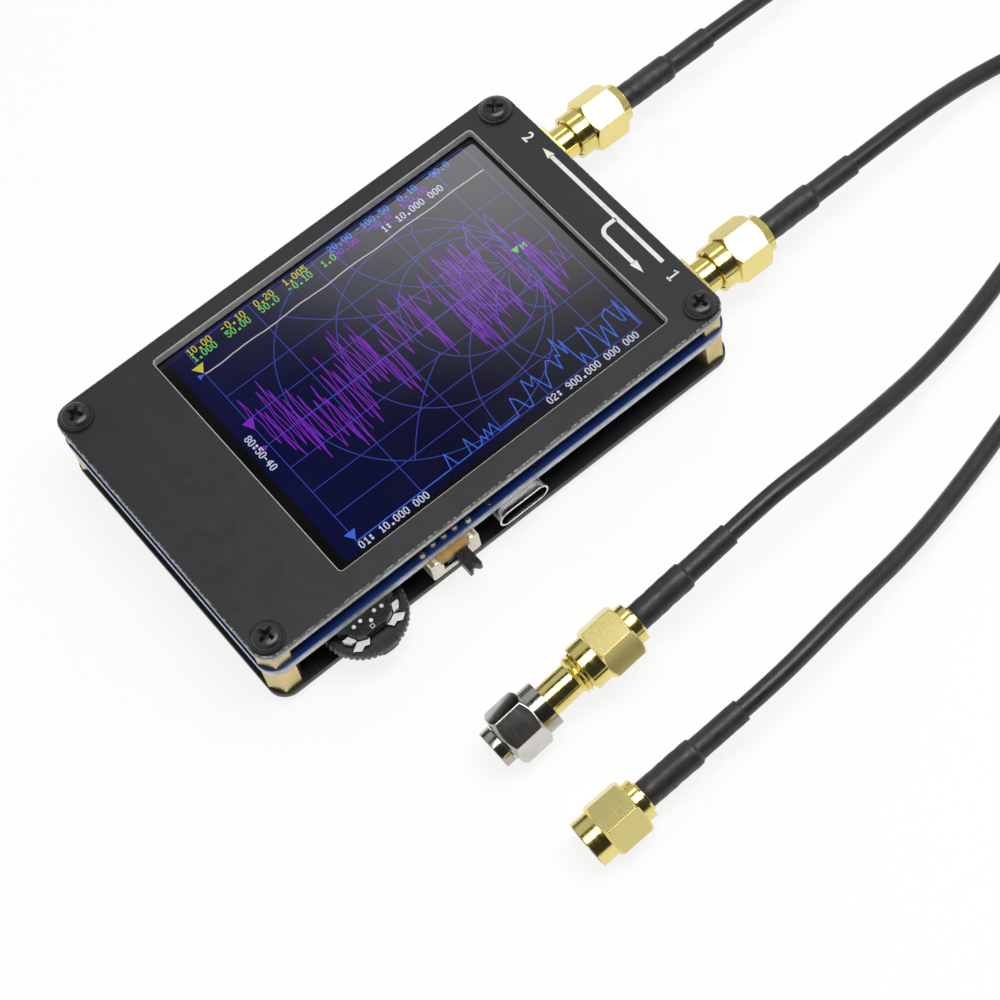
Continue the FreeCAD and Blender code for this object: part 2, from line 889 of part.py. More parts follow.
def coupler():
    """Shell, insulator and contact of the socket-to-socket coupler in the far plug's nut."""
    near = engagement
    far = engagement - coupler_length
    t = jack_thread_radius
    c = jack_chamfer
    profile = [
        (near, 0),
        (near, t - c),
        (near - c, t),
        (near - coupler_plug_thread, t),
        (near - coupler_plug_thread - coupler_neck, coupler_barrel_radius),
        (far + coupler_load_thread, coupler_barrel_radius),
        (far + coupler_load_thread, t),
        (far + c, t),
        (far, t - c),
        (far, 0),
    ]
    inner_near = near - counterbore_depth
    inner_far = far + counterbore_depth
    shell = turned(profile).cut(
        [
            rod(far - 1, near + 1, insulator_radius + insulator_fit),
            rod(inner_near, near + 1, counterbore_radius),
            rod(far - 1, inner_far, counterbore_radius),
        ]
    )
    ring = rod(inner_far, inner_near, insulator_radius)
    ring = ring.cut(rod(inner_far - 1, inner_near + 1, contact_outer + insulator_fit))
    return shell, ring, socket_contact(inner_far, inner_near)


# ---- cables ----
def tube(points, radius, name):
    """Round cable along straight runs joined by tangent arcs as large as the runs allow."""
    spots = [V(p) for p in points]
    edges = []
    radii = []
    length = 0.0
    start = spots[0]
    for before, corner, after in zip(spots, spots[1:], spots[2:]):
        run_in = corner - before
        run_out = after - corner
        turn = run_in.getAngle(run_out)
        cut = 0.45 * min(run_in.Length, run_out.Length)
        bend = cut / math.tan(turn / 2)
        radii.append(bend)
        into = corner - V(run_in).normalize() * cut
        out = corner + V(run_out).normalize() * cut
        to_middle = V(into + out - corner * 2).normalize()
        centre = corner + to_middle * (bend / math.cos(turn / 2))
        middle = centre - to_middle * bend
        edges.append(Part.LineSegment(start, into).toShape())
        edges.append(Part.Arc(into, middle, out).toShape())
        length += (into - start).Length + bend * turn
        start = out
    edges.append(Part.LineSegment(start, spots[-1]).toShape())
    length += (spots[-1] - start).Length
    path = Part.Wire(edges)
    ring = Part.Circle(spots[0], spots[1] - spots[0], radius).toShape()
    solid = path.makePipeShell([Part.Wire(ring)], True, False)
    share = solid.Volume / (math.pi * radius**2 * length)
    print(f"{name}: {length:.1f} mm, least radius {min(radii):.1f}, volume share {share:.4f}")
    return solid


def plug_place(x, y, z, yaw=0.0, pitch=0.0):
    """Placement of a plug's axis."""
    return FreeCAD.Placement(V(x, y, z), FreeCAD.Rotation(yaw, pitch, 0))


def hex_drop(roll):
    """How far the lowest corner of a nut lies below its axis."""
    return -min(y * math.sin(math.radians(roll)) + z * math.cos(math.radians(roll))
                for y, z in hexagon(nut_across_flats))


def resting_place(spot, yaw, tilt, edges):
    """Placement of a plug that slopes up to its cable and lies on one of its edges.

    The edges are given by their distance along the axis and how far they lie below it.
    """
    slope = math.radians(tilt)
    height = max(drop * math.cos(slope) - x * math.sin(slope) for x, drop in edges)
    return plug_place(half_length + spot[0], spot[1], height, yaw, -tilt)


def far_places():
    """Placements of the two far plugs, which lie on a nut or on the load."""
    collar = (0, nut_collar_radius)
    first_hex = (nut_hex_start + nut_bevel, hex_drop(roll_far_1))
    first = resting_place(far_plug_1, far_plug_1_yaw, far_plug_1_tilt, [collar, first_hex])
    load_mouth = 2 * engagement - coupler_length
    load_hex = (load_mouth - load_hex_end + nut_bevel, hex_drop(load_roll))
    cap = (load_mouth - load_nut_length - load_cap_gap - load_cap_length, load_cap_radius)
    second = resting_place(far_plug_2, far_plug_2_yaw, far_plug_2_tilt, [load_hex, cap])
    return first, second


def connector_set(prefix, end, place, roll, sleeve_length):
    """One end of a cable; returns its insulator and pin, which share nodes with the other end."""
    body, sleeve, ring, pin = [
        shape.transformed(place.toMatrix())
        for shape in (plug_body(), shrink_sleeve(sleeve_length), plug_insulator(), coax_pin())
    ]
    nut = coupling_nut(nut_hex_start, nut_hex_end, nut_length)
    nut.rotate(V(0, 0, 0), V(1, 0, 0), roll)
    keep(f"{prefix}_{end}_nut", nut.transformed(place.toMatrix()))
    keep(f"{prefix}_{end}_body", body)
    keep(f"{prefix}_{end}_sleeve", sleeve)
    return ring, pin


def cable(number, route, near_place, near_roll, far_place, far_roll):
    """A test cable: both plugs and the cable between their sleeves."""
    prefix = f"cable_{number}"
    near_ring, near_pin = connector_set(prefix, "near", near_place, near_roll, near_sleeve_length)
    far_ring, far_pin = connector_set(prefix, "far", far_place, far_roll, far_sleeve_length)
    keep(f"{prefix}_insulators", near_ring, far_ring)
    keep(f"{prefix}_pins", near_pin, far_pin)
    near_end = sleeve_start + near_sleeve_length
    far_end = sleeve_start + far_sleeve_length
    out_of_near = [point_on(near_place, near_end), point_on(near_place, near_end + cable_lead)]
    into_far = [point_on(far_place, far_end + cable_lead), point_on(far_place, far_end)]
    between = [V(half_length + x, y, z) for x, y, z in route]
    keep(f"{prefix}_cord", tube(out_of_near + between + into_far, cable_radius, prefix))
    print(prefix, "from", *[tuple(round(v, 3) for v in p) for p in out_of_near + into_far])


# Points of the cables between the straight leads out of their sleeves, from the port to the far
# plug; X is measured from the end of the panels.
cable_1_route = [
    (46.55, -16.95, 7.9),
    (55.25, -16.5, 6.1),
    (64.25, -16.8, 4.2),
    (73.75, -18.1, 3.2),
    (83.25, -19.5, 4.4),
    (94.25, -21.8, 5.7),
    (104.25, -28.4, 5.7),
    (108.25, -39.0, 3.3),
    (105.25, -50.1, cable_rest),
    (96.25, -57.3, cable_rest),
    (84.25, -59.0, cable_rest),
    (71.25, -57.0, cable_rest),
    (58.25, -55.8, cable_rest),
    (42.75, -57.3, cable_rest),
    (26.25, -61.25, cable_rest),
    (9.67, -66.14, 2.9),
    (-4.23, -69.7, 5.6),
    (-16.2, -71.47, 8.0),
    (-25.14, -72.78, 8.9),
]
cable_2_route = [
    (47.25, 16.5, 7.6),
    (58.25, 17.9, 5.1),
    (70.75, 20.6, 2.4),
    (84.25, 21.9, cable_rest),
    (98.75, 17.8, cable_rest),
    (108.95, 6.9, cable_rest),
    (111.75, -7.2, cable_rest),
    (106.75, -20.0, cable_rest),
    (96.25, -28.6, cable_rest),
    (82.75, -33.0, cable_rest),
    (68.25, -35.9, cable_rest),
    (51.75, -39.7, cable_rest),
    (34.75, -45.46, 2.5),
    (18.49, -49.65, 5.6),
    (4.72, -51.88, 9.3),
    (-5.35, -52.95, 11.6),
    (-11.92, -53.09, 12.3),
]


def ports():
    """The two ports on the board's edge."""
    rings = []
    contacts = []
    for number, y in zip((1, 2), port_ys):
        shapes = on_axis(
            [jack_shell(), jack_insulator(), jack_contact()], half_length, y, port_axis_z
        )
        keep(f"port_{number}_shell", shapes[0])
        rings.append(shapes[1])
        contacts.append(shapes[2])
    keep("port_insulators", *rings)
    keep("port_contacts", *contacts)


def test_cables():
    """Both cables, and the coupler and load on the far end of the second one."""
    far_1, far_2 = far_places()
    near_1 = plug_place(port_mouth_x, port_ys[0], port_axis_z)
    near_2 = plug_place(port_mouth_x, port_ys[1], port_axis_z)
    cable(1, cable_1_route, near_1, roll_port_1, far_1, roll_far_1)
    cable(2, cable_2_route, near_2, roll_port_2, far_2, roll_far_2)
    matrix = far_2.toMatrix()
    shell, ring, contact = coupler()
    keep("coupler_shell", shell.transformed(matrix))
    keep("coupler_insulator", ring.transformed(matrix))
    keep("coupler_contact", contact.transformed(matrix))
    turn_round = FreeCAD.Rotation(180, 0, 0)
    load_place = far_2.multiply(
        FreeCAD.Placement(V(2 * engagement - coupler_length, 0, 0), turn_round)
    )
    matrix = load_place.toMatrix()
    nut = coupling_nut(load_hex_start, load_hex_end, load_nut_length)
    nut.rotate(V(0, 0, 0), V(1, 0, 0), load_roll)
    keep("load_nut", nut.transformed(matrix))
    keep("load_body", load_body().transformed(matrix))
    keep("load_pin", coax_pin().transformed(matrix))
    for name, place in (("far_1", far_1), ("far_2", far_2), ("load", load_place)):
        mouth = point_on(place, 0)
        axis = place.Rotation.multVec(V(1, 0, 0))
        print(name, [round(v, 4) for v in mouth], [round(v, 6) for v in axis])


# ---- parts under the board ----
def battery():
    """Pouch cell on the rear panel, its header under the board and the two leads."""
    top = z_inside + battery_thickness
    cell = rounded_plate(
        battery_x, battery_y, battery_length, battery_width, z_inside, top, battery_corner
    )
    keep("battery_cell", cell)
    z_header = z_board - header_height
    keep("battery_header", slab(header_x, battery_y, header_length, header_width, z_header, z_board))
    leads = []
    x0 = battery_x + battery_length / 2
    x1 = header_x - header_length / 2
    z0 = z_inside + battery_thickness / 2
    z1 = z_header + header_height / 2
    third = (x1 - x0) / 3
    for side in (-1, 1):
        y = battery_y + side * lead_pitch / 2
        route = [V(x0, y, z0), V(x0 + third, y, z0), V(x1 - third, y, z1), V(x1, y, z1)]
        leads.append(tube(route, lead_radius, "battery lead"))
    keep("battery_leads", *leads)


def microcontroller():
    """Square chip with a row of leads on each side."""
    low = z_board - cpu_height
    chip = slab(cpu_x, cpu_y, cpu_size, cpu_size, low, z_board - cpu_lift)
    span = cpu_size + 2 * cpu_lead_reach
    width = cpu_lead_pitch / 2
    z_lead = z_board - cpu_lead_thickness
    leads = []
    for k in range(cpu_leads):
        shift = (k - (cpu_leads - 1) / 2) * cpu_lead_pitch
        leads.append(slab(cpu_x + shift, cpu_y, width, span, z_lead, z_board))
        leads.append(slab(cpu_x, cpu_y + shift, span, width, z_lead, z_board))
    keep("microcontroller", chip.fuse(leads))


def small_parts():
    """Chips, shield cans and the rows of small passive parts."""
    bodies = []
    for share_x, share_y, length, width, height in chips:
        x = share_x * half_length
        y = share_y * half_width
        bodies.append(slab(x, y, length, width, z_board - height, z_board))
    keep("board_chips", *bodies)
    cans = []
    for y in port_ys:
        low = z_board - can_height
        can = slab(can_x, y * can_inward, can_length, can_width, low, z_board)
        inside = slab(
            can_x,
            y * can_inward,
            can_length - 2 * can_wall,
            can_width - 2 * can_wall,
            low + can_wall,
            z_board + 1,
        )
        cans.append(can.cut(inside))
    keep("shield_cans", *cans)
    length, width, height = passive_size
    rows = []
    for share_x, share_y, count in passive_rows:
        for k in range(count):
            x = share_x * half_length
            y = share_y * half_width + k * passive_pitch
            rows.append(slab(x, y, length, width, z_board - height, z_board))
    keep("board_passives", *rows)


# ---- the whole part ----
keep("front_panel", front_panel())
keep("main_board", main_board())
keep("rear_panel", drilled_plate(z_rear, z_inside))
screws()
standoffs()
display()
usb_socket()
power_switch()
keep("thumbwheel", thumbwheel())
keep("wheel_base", wheel_base())
keep("wheel_contacts", *wheel_contacts())
keep("wheel_springs", *wheel_springs())
keep("wheel_carrier", wheel_carrier())
keep("wheel_rivet", wheel_rivet())
ports()
test_cables()
battery()
microcontroller()
small_parts()

os.makedirs("parts", exist_ok=True)
for name, shape in nodes.items():
    bad = [s for s in shape.Solids if not s.isValid()]
    if bad or not shape.Solids:
        print("CHECK", name, len(shape.Solids), "solids", len(bad), "not valid")
    shape.translated(to_origin).exportStep(f"parts/{name}.step")
print(len(nodes), "nodes,", sum(len(s.Solids) for s in nodes.values()), "solids")
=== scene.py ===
import json
import math
import random

import bmesh
import bpy
from mathutils import Matrix, Vector

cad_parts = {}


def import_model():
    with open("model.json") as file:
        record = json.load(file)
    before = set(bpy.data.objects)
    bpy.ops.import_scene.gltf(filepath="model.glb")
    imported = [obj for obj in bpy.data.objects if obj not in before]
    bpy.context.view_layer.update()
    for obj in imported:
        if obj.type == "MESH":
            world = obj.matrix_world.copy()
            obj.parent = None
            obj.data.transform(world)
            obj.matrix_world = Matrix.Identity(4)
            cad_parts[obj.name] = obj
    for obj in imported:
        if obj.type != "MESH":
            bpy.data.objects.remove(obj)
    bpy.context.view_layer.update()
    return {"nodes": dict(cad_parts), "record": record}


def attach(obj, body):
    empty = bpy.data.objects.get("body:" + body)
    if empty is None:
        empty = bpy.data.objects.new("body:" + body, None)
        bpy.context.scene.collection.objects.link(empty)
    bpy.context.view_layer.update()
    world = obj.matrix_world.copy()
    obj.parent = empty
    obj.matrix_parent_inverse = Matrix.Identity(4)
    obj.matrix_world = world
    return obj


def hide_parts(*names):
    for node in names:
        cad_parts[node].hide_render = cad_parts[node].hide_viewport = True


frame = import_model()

random.seed(7)
nodes = frame["nodes"]
root = "analyzer"

# Places are in millimetres from the middle of the panels, and the pieces are made in metres.
mm = 0.001
# The middle of the panels in the row frame.
panel_x = -4.75
panel_y = 2.925
# Corners nearer to each other than this, in metres, become one.
weld_gap = 1e-7


def at(x, y, z):
    """Place in the row frame, in metres, of a point given from the middle of the panels."""
    return Vector(((x + panel_x) * mm, (y + panel_y) * mm, z * mm))


# ---- camera: its place, axes and lens were fitted to the panels in the photograph ----
camera_place = (-81.284, -191.354, 344.510)
camera_right = Vector((0.77369266, -0.62203977, -0.12027550))
camera_down = Vector((-0.59738241, -0.65301245, -0.46552014))
camera_forward = Vector((0.21103064, 0.43201998, -0.87682655))
camera_lens = 95.675


def camera():
    """Camera at the photograph's place and angle."""
    data = bpy.data.cameras.new("camera")
    data.lens = camera_lens
    data.sensor_width = 36.0
    data.clip_start = 0.01
    data.clip_end = 10.0
    cam = bpy.data.objects.new("camera", data)
    bpy.context.collection.objects.link(cam)
    turn = Matrix((camera_right, -camera_down, -camera_forward)).transposed()
    cam.matrix_world = Matrix.Translation(at(*camera_place)) @ turn.to_4x4()
    bpy.context.scene.camera = cam


camera()


# ---- cables: their routes run from the port's plug to the far plug ----
cable_radius = 1.4
# Height of a cable's middle where it lies on the floor.
floor_z = 1.42
cable_1_points = [
    (75.35, -17.2, 8.5), (81.55, -17.2, 8.5), (89.3, -16.95, 7.9), (98.0, -16.5, 6.1),
    (107.0, -16.8, 4.2), (116.5, -18.1, 3.2), (126.0, -19.5, 4.4), (137.0, -21.8, 5.7),
    (147.0, -28.4, 5.7), (151.0, -39.0, 3.3), (148.0, -50.1, floor_z), (139.0, -57.3, floor_z),
    (127.0, -59.0, floor_z), (114.0, -57.0, floor_z), (101.0, -55.8, floor_z),
    (85.5, -57.3, floor_z), (69.0, -61.25, floor_z), (52.42, -66.14, 2.9), (38.52, -69.7, 5.6),
    (26.55, -71.47, 8.0), (17.61, -72.78, 8.9), (10.244, -73.381, 8.453), (4.104, -73.323, 7.59),
]
cable_2_points = [
    (75.35, 16.2, 8.5), (81.55, 16.2, 8.5), (90.0, 16.5, 7.6), (101.0, 17.9, 5.1),
    (113.5, 20.6, 2.4), (127.0, 21.9, floor_z), (141.5, 17.8, floor_z), (151.7, 6.9, floor_z),
    (154.5, -7.2, floor_z), (149.5, -20.0, floor_z), (139.0, -28.6, floor_z),
    (125.5, -33.0, floor_z), (111.0, -35.9, floor_z), (94.5, -39.7, floor_z),
    (77.5, -45.46, 2.5), (61.24, -49.65, 5.6), (47.47, -51.88, 9.3), (37.4, -52.95, 11.6),
    (30.83, -53.09, 12.3), (25.734, -53.137, 12.089), (19.611, -53.215, 11.119),
]


def cable(name, points, hides):
    """Round cable on a smooth line along its route."""
    curve = bpy.data.curves.new(name, "CURVE")
    curve.dimensions = "3D"
    curve.bevel_depth = cable_radius
    curve.bevel_resolution = 6
    curve.resolution_u = 8
    spline = curve.splines.new("NURBS")
    spline.points.add(len(points) - 1)
    for point, place in zip(spline.points, points):
        point.co = (*at(*place), 1.0)
        point.radius = mm
    spline.order_u = 3
    spline.use_endpoint_u = True
    obj = bpy.data.objects.new(name, curve)
    bpy.context.collection.objects.link(obj)
    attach(obj, root)
    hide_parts(hides)
    return obj


line_1 = cable("cable_1_line", cable_1_points, "cable_1_cord")
line_2 = cable("cable_2_line", cable_2_points, "cable_2_cord")


# ---- materials ----
class Tree:
    """A node tree, with short ways to add its nodes and to link them."""

    def __init__(self, tree):
        self.tree = tree

    def add(self, kind, **values):
        """New node; a value sets the property or the input of its name, with _ for a space."""
        node = self.tree.nodes.new(kind)
        for key, value in values.items():
            if hasattr(node, key):
                setattr(node, key, value)
            else:
                node.inputs[key.replace("_", " ")].default_value = value
        return node

    def link(self, source, target):
        self.tree.links.new(source, target)

    def calc(self, operation, first, second=None):
        """Result of a Math node; second is another output or a number."""
        node = self.add("ShaderNodeMath", operation=operation)
        self.link(first, node.inputs[0])
        if isinstance(second, float):
            node.inputs[1].default_value = second
        elif second is not None:
            self.link(second, node.inputs[1])
        return node.outputs[0]

    def span(self, source, low, high, start=0.0, end=1.0):
        """Goes from start to end while the source goes from low to high, and no further."""
        node = self.add("ShaderNodeMapRange")
        for slot, value in enumerate((low, high, start, end), 1):
            node.inputs[slot].default_value = value
        self.link(source, node.inputs[0])
        return node.outputs[0]


# Between these values of the noise, a mottled surface goes from its dark to its light tone.
noise_dark, noise_light = 0.3, 0.7
# Least roughness of a surface.
smoothest = 0.02


class Shader(Tree):
    """A Principled material whose colour, roughness and bump come from procedural nodes."""

    def __init__(self, name):
        self.mat = bpy.data.materials.new(name)
        self.mat.use_nodes = True
        super().__init__(self.mat.node_tree)
        self.bsdf = self.tree.nodes["Principled BSDF"]
        self.place = self.tree.nodes.new("ShaderNodeTexCoord").outputs["Object"]

    def set(self, **values):
        """Plain numbers and colours on the shader's own sockets."""
        for key, value in values.items():
            self.bsdf.inputs[key.replace("_", " ")].default_value = value

    def feed(self, socket, source):
        self.link(source, self.bsdf.inputs[socket])

    def noise(self, scale, detail=4.0, stretch=None):
        """Noise over the object; stretch gives other scales along its three axes."""
        node = self.add("ShaderNodeTexNoise", Scale=scale, Detail=detail)
        if stretch is None:
            self.link(self.place, node.inputs["Vector"])
        else:
            mapping = self.add("ShaderNodeMapping")
            mapping.inputs["Scale"].default_value = stretch
            self.link(self.place, mapping.inputs["Vector"])
            self.link(mapping.outputs["Vector"], node.inputs["Vector"])
        return node.outputs["Fac"]

    def axis(self, source, axis):
        """One axis of a place or a direction."""
        node = self.add("ShaderNodeSeparateXYZ")
        self.link(source, node.inputs[0])
        return node.outputs[axis]

    def along(self, axis, low, high):
        """Place along an axis, as 0 at low and 1 at high, in millimetres of the row frame."""
        return self.span(self.axis(self.place, axis), low * mm, high * mm)

    def ramp(self, source, stops):
        """Colour that goes through the stops, each a value of the source and its tone."""
        node = self.add("ShaderNodeValToRGB")
        elements = node.color_ramp.elements
        while len(elements) < len(stops):
            elements.new(0.5)
        for element, (where, value) in zip(elements, stops):
            element.position = where
            element.color = (*value, 1.0)
        self.link(source, node.inputs["Fac"])
        return node.outputs["Color"]

    def grey(self, source, low, high, start=noise_dark, end=noise_light):
        return self.ramp(source, [(start, (low,) * 3), (end, (high,) * 3)])

    def mottled(self, scale, dark, light):
        return self.ramp(self.noise(scale), [(noise_dark, dark), (noise_light, light)])

    def mix(self, share, first, second, blend="MIX"):
        """Mix of two colours, whose sockets on the node are 6 and 7, and 2 for the result."""
        node = self.add("ShaderNodeMix", data_type="RGBA", blend_type=blend)
        if isinstance(share, float):
            node.inputs[0].default_value = share
        else:
            self.link(share, node.inputs[0])
        self.link(first, node.inputs[6])
        self.link(second, node.inputs[7])
        return node.outputs[2]

    def bump(self, source, strength, distance, under=None):
        """Fine relief; under is a node whose normal the relief stands on."""
        node = self.add("ShaderNodeBump", Strength=strength, Distance=distance)
        self.link(source, node.inputs["Height"])
        if under is not None:
            self.link(under.outputs["Normal"], node.inputs["Normal"])
        self.feed("Normal", node.outputs["Normal"])
        return self.mat


def plain(name, dark, light, metallic, rough, grain, bump_scale, bump_depth, spread=0.08):
    """Material with a mottled colour, uneven roughness and a fine bump."""
    s = Shader(name)
    s.set(Metallic=metallic)
    s.feed("Base Color", s.mottled(grain, dark, light))
    rough_low = max(smoothest, rough - spread)
    s.feed("Roughness", s.grey(s.noise(grain * 2.3), rough_low, rough + spread))
    return s.bump(s.noise(bump_scale, 6.0), 0.35, bump_depth)


def panel(name, mask_dark, mask_light, edge, low, high, rough):
    """Circuit panel: solder mask on the two faces, and on every cut edge its layers, in tones from
    its bottom to its top; on the main board these tones are also lightened as painted light.
    """
    s = Shader(name)
    faces = s.mottled(90.0, mask_dark, mask_light)
    layers_and_painted_light = s.ramp(s.along("Z", low, high), edge)
    fibres = s.grey(s.noise(1.0, 4.0, (900.0, 900.0, 5200.0)), 0.45, 1.0)
    cut = s.mix(1.0, layers_and_painted_light, fibres, "MULTIPLY")
    normal = s.add("ShaderNodeNewGeometry").outputs["True Normal"]
    is_face = s.calc("GREATER_THAN", s.calc("ABSOLUTE", s.axis(normal, "Z")), 0.55)
    s.feed("Base Color", s.mix(is_face, cut, faces))
    s.feed("Roughness", s.grey(s.noise(400.0), rough - 0.05, rough + 0.06))
    return s.bump(s.noise(2600.0, 3.0), 0.25, 0.00003)


def metal(name, dark, light, rough, scratches, depth, spread=0.05, ridge=0.0):
    """Plated metal with faint scratches one way; ridge is how far its edges look rounded."""
    s = Shader(name)
    s.set(Metallic=1.0)
    s.feed("Base Color", s.mottled(350.0, dark, light))
    lines = s.noise(1.0, 3.0, (scratches, 260.0, 700.0))
    s.feed("Roughness", s.grey(lines, max(smoothest, rough - spread), rough + spread))
    rounded = s.add("ShaderNodeBevel", samples=6, Radius=ridge * mm) if ridge else None
    return s.bump(s.noise(1.0, 5.0, (scratches * 1.6, 500.0, 900.0)), 0.3, depth, rounded)


film_ior = 1.7
film_rough = 0.085
film_spread = 0.02


def under_film(s):
    """Finish a material with the gloss of the touch film that lies over it."""
    s.set(IOR=film_ior)
    s.feed("Roughness", s.grey(s.noise(60.0), film_rough - film_spread, film_rough + film_spread))
    return s.bump(s.noise(2500.0, 2.0), 0.1, 2e-6)


def film(name):
    """Dark glass border under the touch film."""
    s = Shader(name)
    s.feed("Base Color", s.mottled(60.0, (0.003,) * 3, (0.005,) * 3))
    return under_film(s)


def lit(name, colour, dim, across):
    """Lit rows of pixels, dim between them; across is where a colour with stops runs along X."""
    s = Shader(name)
    s.set(Base_Color=(0.002, 0.002, 0.003, 1.0), Emission_Strength=1.0)
    if across is None:
        tone = s.ramp(s.noise(40.0), [(0.0, [c * 0.92 for c in colour]), (1.0, colour)])
    else:
        tone = s.ramp(s.along("X", *across), colour)
    pixels = s.add("ShaderNodeTexWave", Scale=1745.0, bands_direction="Y")
    s.link(s.place, pixels.inputs["Vector"])
    rows = s.grey(pixels.outputs["Fac"], dim, 1.0, 0.2, 0.8)
    s.feed("Emission Color", s.mix(1.0, tone, rows, "MULTIPLY"))
    return under_film(s)


def laminate_cut():
    """Glass fibre bared by the cutter: pale around the window, dark along the panel's outline."""
    s = Shader("laminate_cut")
    outside = []
    for axis, middle, half in (("X", panel_x, 42.0), ("Y", panel_y, 26.3)):
        shift = s.calc("SUBTRACT", s.axis(s.place, axis), middle * mm)
        outside.append(s.calc("GREATER_THAN", s.calc("ABSOLUTE", shift), half * mm))
    pale = s.mottled(900.0, (0.38, 0.38, 0.36), (0.52, 0.52, 0.5))
    deep = s.ramp(s.noise(2200.0), [(0.42, (0.02, 0.022, 0.02)), (0.66, (0.4, 0.41, 0.38))])
    s.feed("Base Color", s.mix(s.calc("MAXIMUM", *outside), pale, deep))
    s.feed("Roughness", s.grey(s.noise(2000.0), 0.52, 0.68))
    return s.bump(s.noise(2600.0, 6.0), 0.35, 4e-5)


# After its name, dark tone and light tone, a plain material gives metallic, roughness, grain,
# bump scale and bump depth, and a metal roughness, scratches and relief. The spread of the
# roughness may follow, and for a metal its ridge.
mats = {
    "panel_black": panel(
        "solder_mask_black", (0.010, 0.0105, 0.012), (0.015, 0.0155, 0.018),
        [(0.0, (0.66, 0.66, 0.6)), (0.42, (0.85, 0.85, 0.78)), (0.6, (0.42, 0.43, 0.38)),
         (0.9, (0.12, 0.13, 0.11))], 13.6, 15.2, 0.42),
    # The main board's cut edge is painted near white below its blue top, lighter than its laminate:
    # painted light that makes up for the shade under the front panel.
    "board_blue": panel(
        "solder_mask_blue", (0.009, 0.03, 0.16), (0.015, 0.05, 0.24),
        [(0.0, (0.86, 0.89, 0.93)), (0.4, (0.9, 0.93, 0.97)), (0.78, (0.42, 0.5, 0.66)),
         (1.0, (0.016, 0.06, 0.26))], 9.0, 10.6, 0.3),
    "screw_black": plain("black_oxide", (0.014, 0.014, 0.016), (0.026, 0.026, 0.03),
                         0.0, 0.26, 900, 2400, 1e-5, 0.05),
    "brass": metal("brass", (0.55, 0.43, 0.18), (0.68, 0.55, 0.26), 0.3, 1800, 1e-5),
    "gold": metal("gold_polished", (0.75, 0.625, 0.19), (0.83, 0.715, 0.265), 0.16, 1500, 1e-5),
    "gold_flat": metal("gold_satin", (0.83, 0.71, 0.275), (0.87, 0.745, 0.305),
                       0.27, 2600, 1.5e-6, 0.006, 0.2),
    "nickel": metal("dark_nickel", (0.36, 0.34, 0.31), (0.48, 0.46, 0.43), 0.15, 1500, 1e-5),
    "nickel_flat": metal("satin_nickel", (0.56, 0.54, 0.51), (0.66, 0.64, 0.61),
                         0.07, 2600, 1e-6, 0.02, 0.2),
    # Pale nickel; on the bevels of the load's nut it is a painted highlight.
    "nickel_pale": metal("pale_nickel_and_painted_highlight", (0.7, 0.69, 0.66), (0.8, 0.79, 0.76), 0.25, 1500, 1e-5),
    "steel": plain("tinned_steel", (0.7, 0.69, 0.67), (0.8, 0.79, 0.77),
                   1.0, 0.17, 200, 500, 1e-6, 0.05),
    "tray_grey": plain("tray_steel", (0.5,) * 3, (0.6,) * 3, 1.0, 0.34, 600, 1800, 1e-5),
    "glass_dark": film("cell_glass"),
    "touch_layer": film("touch_film"),
    "flex_brown": plain("ribbon_amber", (0.35, 0.17, 0.03), (0.5, 0.28, 0.06),
                        0.0, 0.35, 400, 1200, 1e-5),
    "black_plastic": plain("black_plastic", (0.007,) * 3, (0.014,) * 3, 0.0, 0.3, 700, 2600, 8e-6),
    "wheel_plastic": plain("wheel_plastic", (0.016,) * 3, (0.03,) * 3, 0.0, 0.34, 700, 3200, 2e-5),
    "amber_plastic": plain("amber_laminate", (0.30, 0.17, 0.04), (0.48, 0.30, 0.09),
                           0.0, 0.4, 900, 2600, 3e-5),
    "white_plastic": plain("white_plastic", (0.72, 0.71, 0.67), (0.82, 0.81, 0.78),
                           0.0, 0.45, 500, 2400, 2e-5),
    "ink_white": plain("ink_white", (0.66, 0.66, 0.63), (0.8, 0.8, 0.78),
                       0.0, 0.6, 1400, 3000, 2e-5),
    "switch_white": plain("switch_plating", (0.74, 0.71, 0.6), (0.84, 0.82, 0.72),
                          0.55, 0.34, 500, 1600, 5e-6),
    "sleeve_black": plain("shrink_black", (0.014,) * 3, (0.026,) * 3,
                          0.0, 0.44, 500, 1400, 6e-5, 0.1),
    "cable_black": plain("jacket_black", (0.014,) * 3, (0.024,) * 3, 0.0, 0.35, 400, 1500, 3e-5),
    "lead_red": plain("lead_red", (0.4, 0.012, 0.01), (0.5, 0.03, 0.02),
                      0.0, 0.4, 500, 1500, 2e-5),
    "pouch_silver": plain("pouch_foil", (0.45, 0.46, 0.48), (0.6, 0.61, 0.63),
                          0.85, 0.4, 120, 700, 8e-5),
    "chip_black": plain("chip_black", (0.014,) * 3, (0.026,) * 3, 0.0, 0.55, 900, 3600, 2e-5),
    "passive_tan": plain("ceramic_tan", (0.30, 0.22, 0.13), (0.42, 0.32, 0.2),
                         0.0, 0.5, 900, 2600, 2e-5),
    "bright_tin": plain("bright_tin", (0.8,) * 3, (0.9,) * 3, 0.25, 0.3, 300, 1200, 2e-6),
    "solder": plain("solder_olive", (0.42, 0.42, 0.33), (0.6, 0.6, 0.5),
                    0.8, 0.3, 700, 1500, 4e-5),
    "window_wall": laminate_cut(),
    "rear_black": panel(
        "solder_mask_rear", (0.008,) * 3, (0.013,) * 3,
        [(0.0, (0.2, 0.2, 0.19)), (0.3, (0.12, 0.12, 0.11)), (0.5, (0.05, 0.05, 0.048)),
         (1.0, (0.035, 0.035, 0.034))], 1.4, 2.6, 0.42),
}
line_1.data.materials.append(mats["cable_black"])
line_2.data.materials.append(mats["cable_black"])

# ---- finishes and edges of the CAD nodes ----
slot_of = {p["node"]: p["material_slot"] for p in frame["record"]["subparts"]}
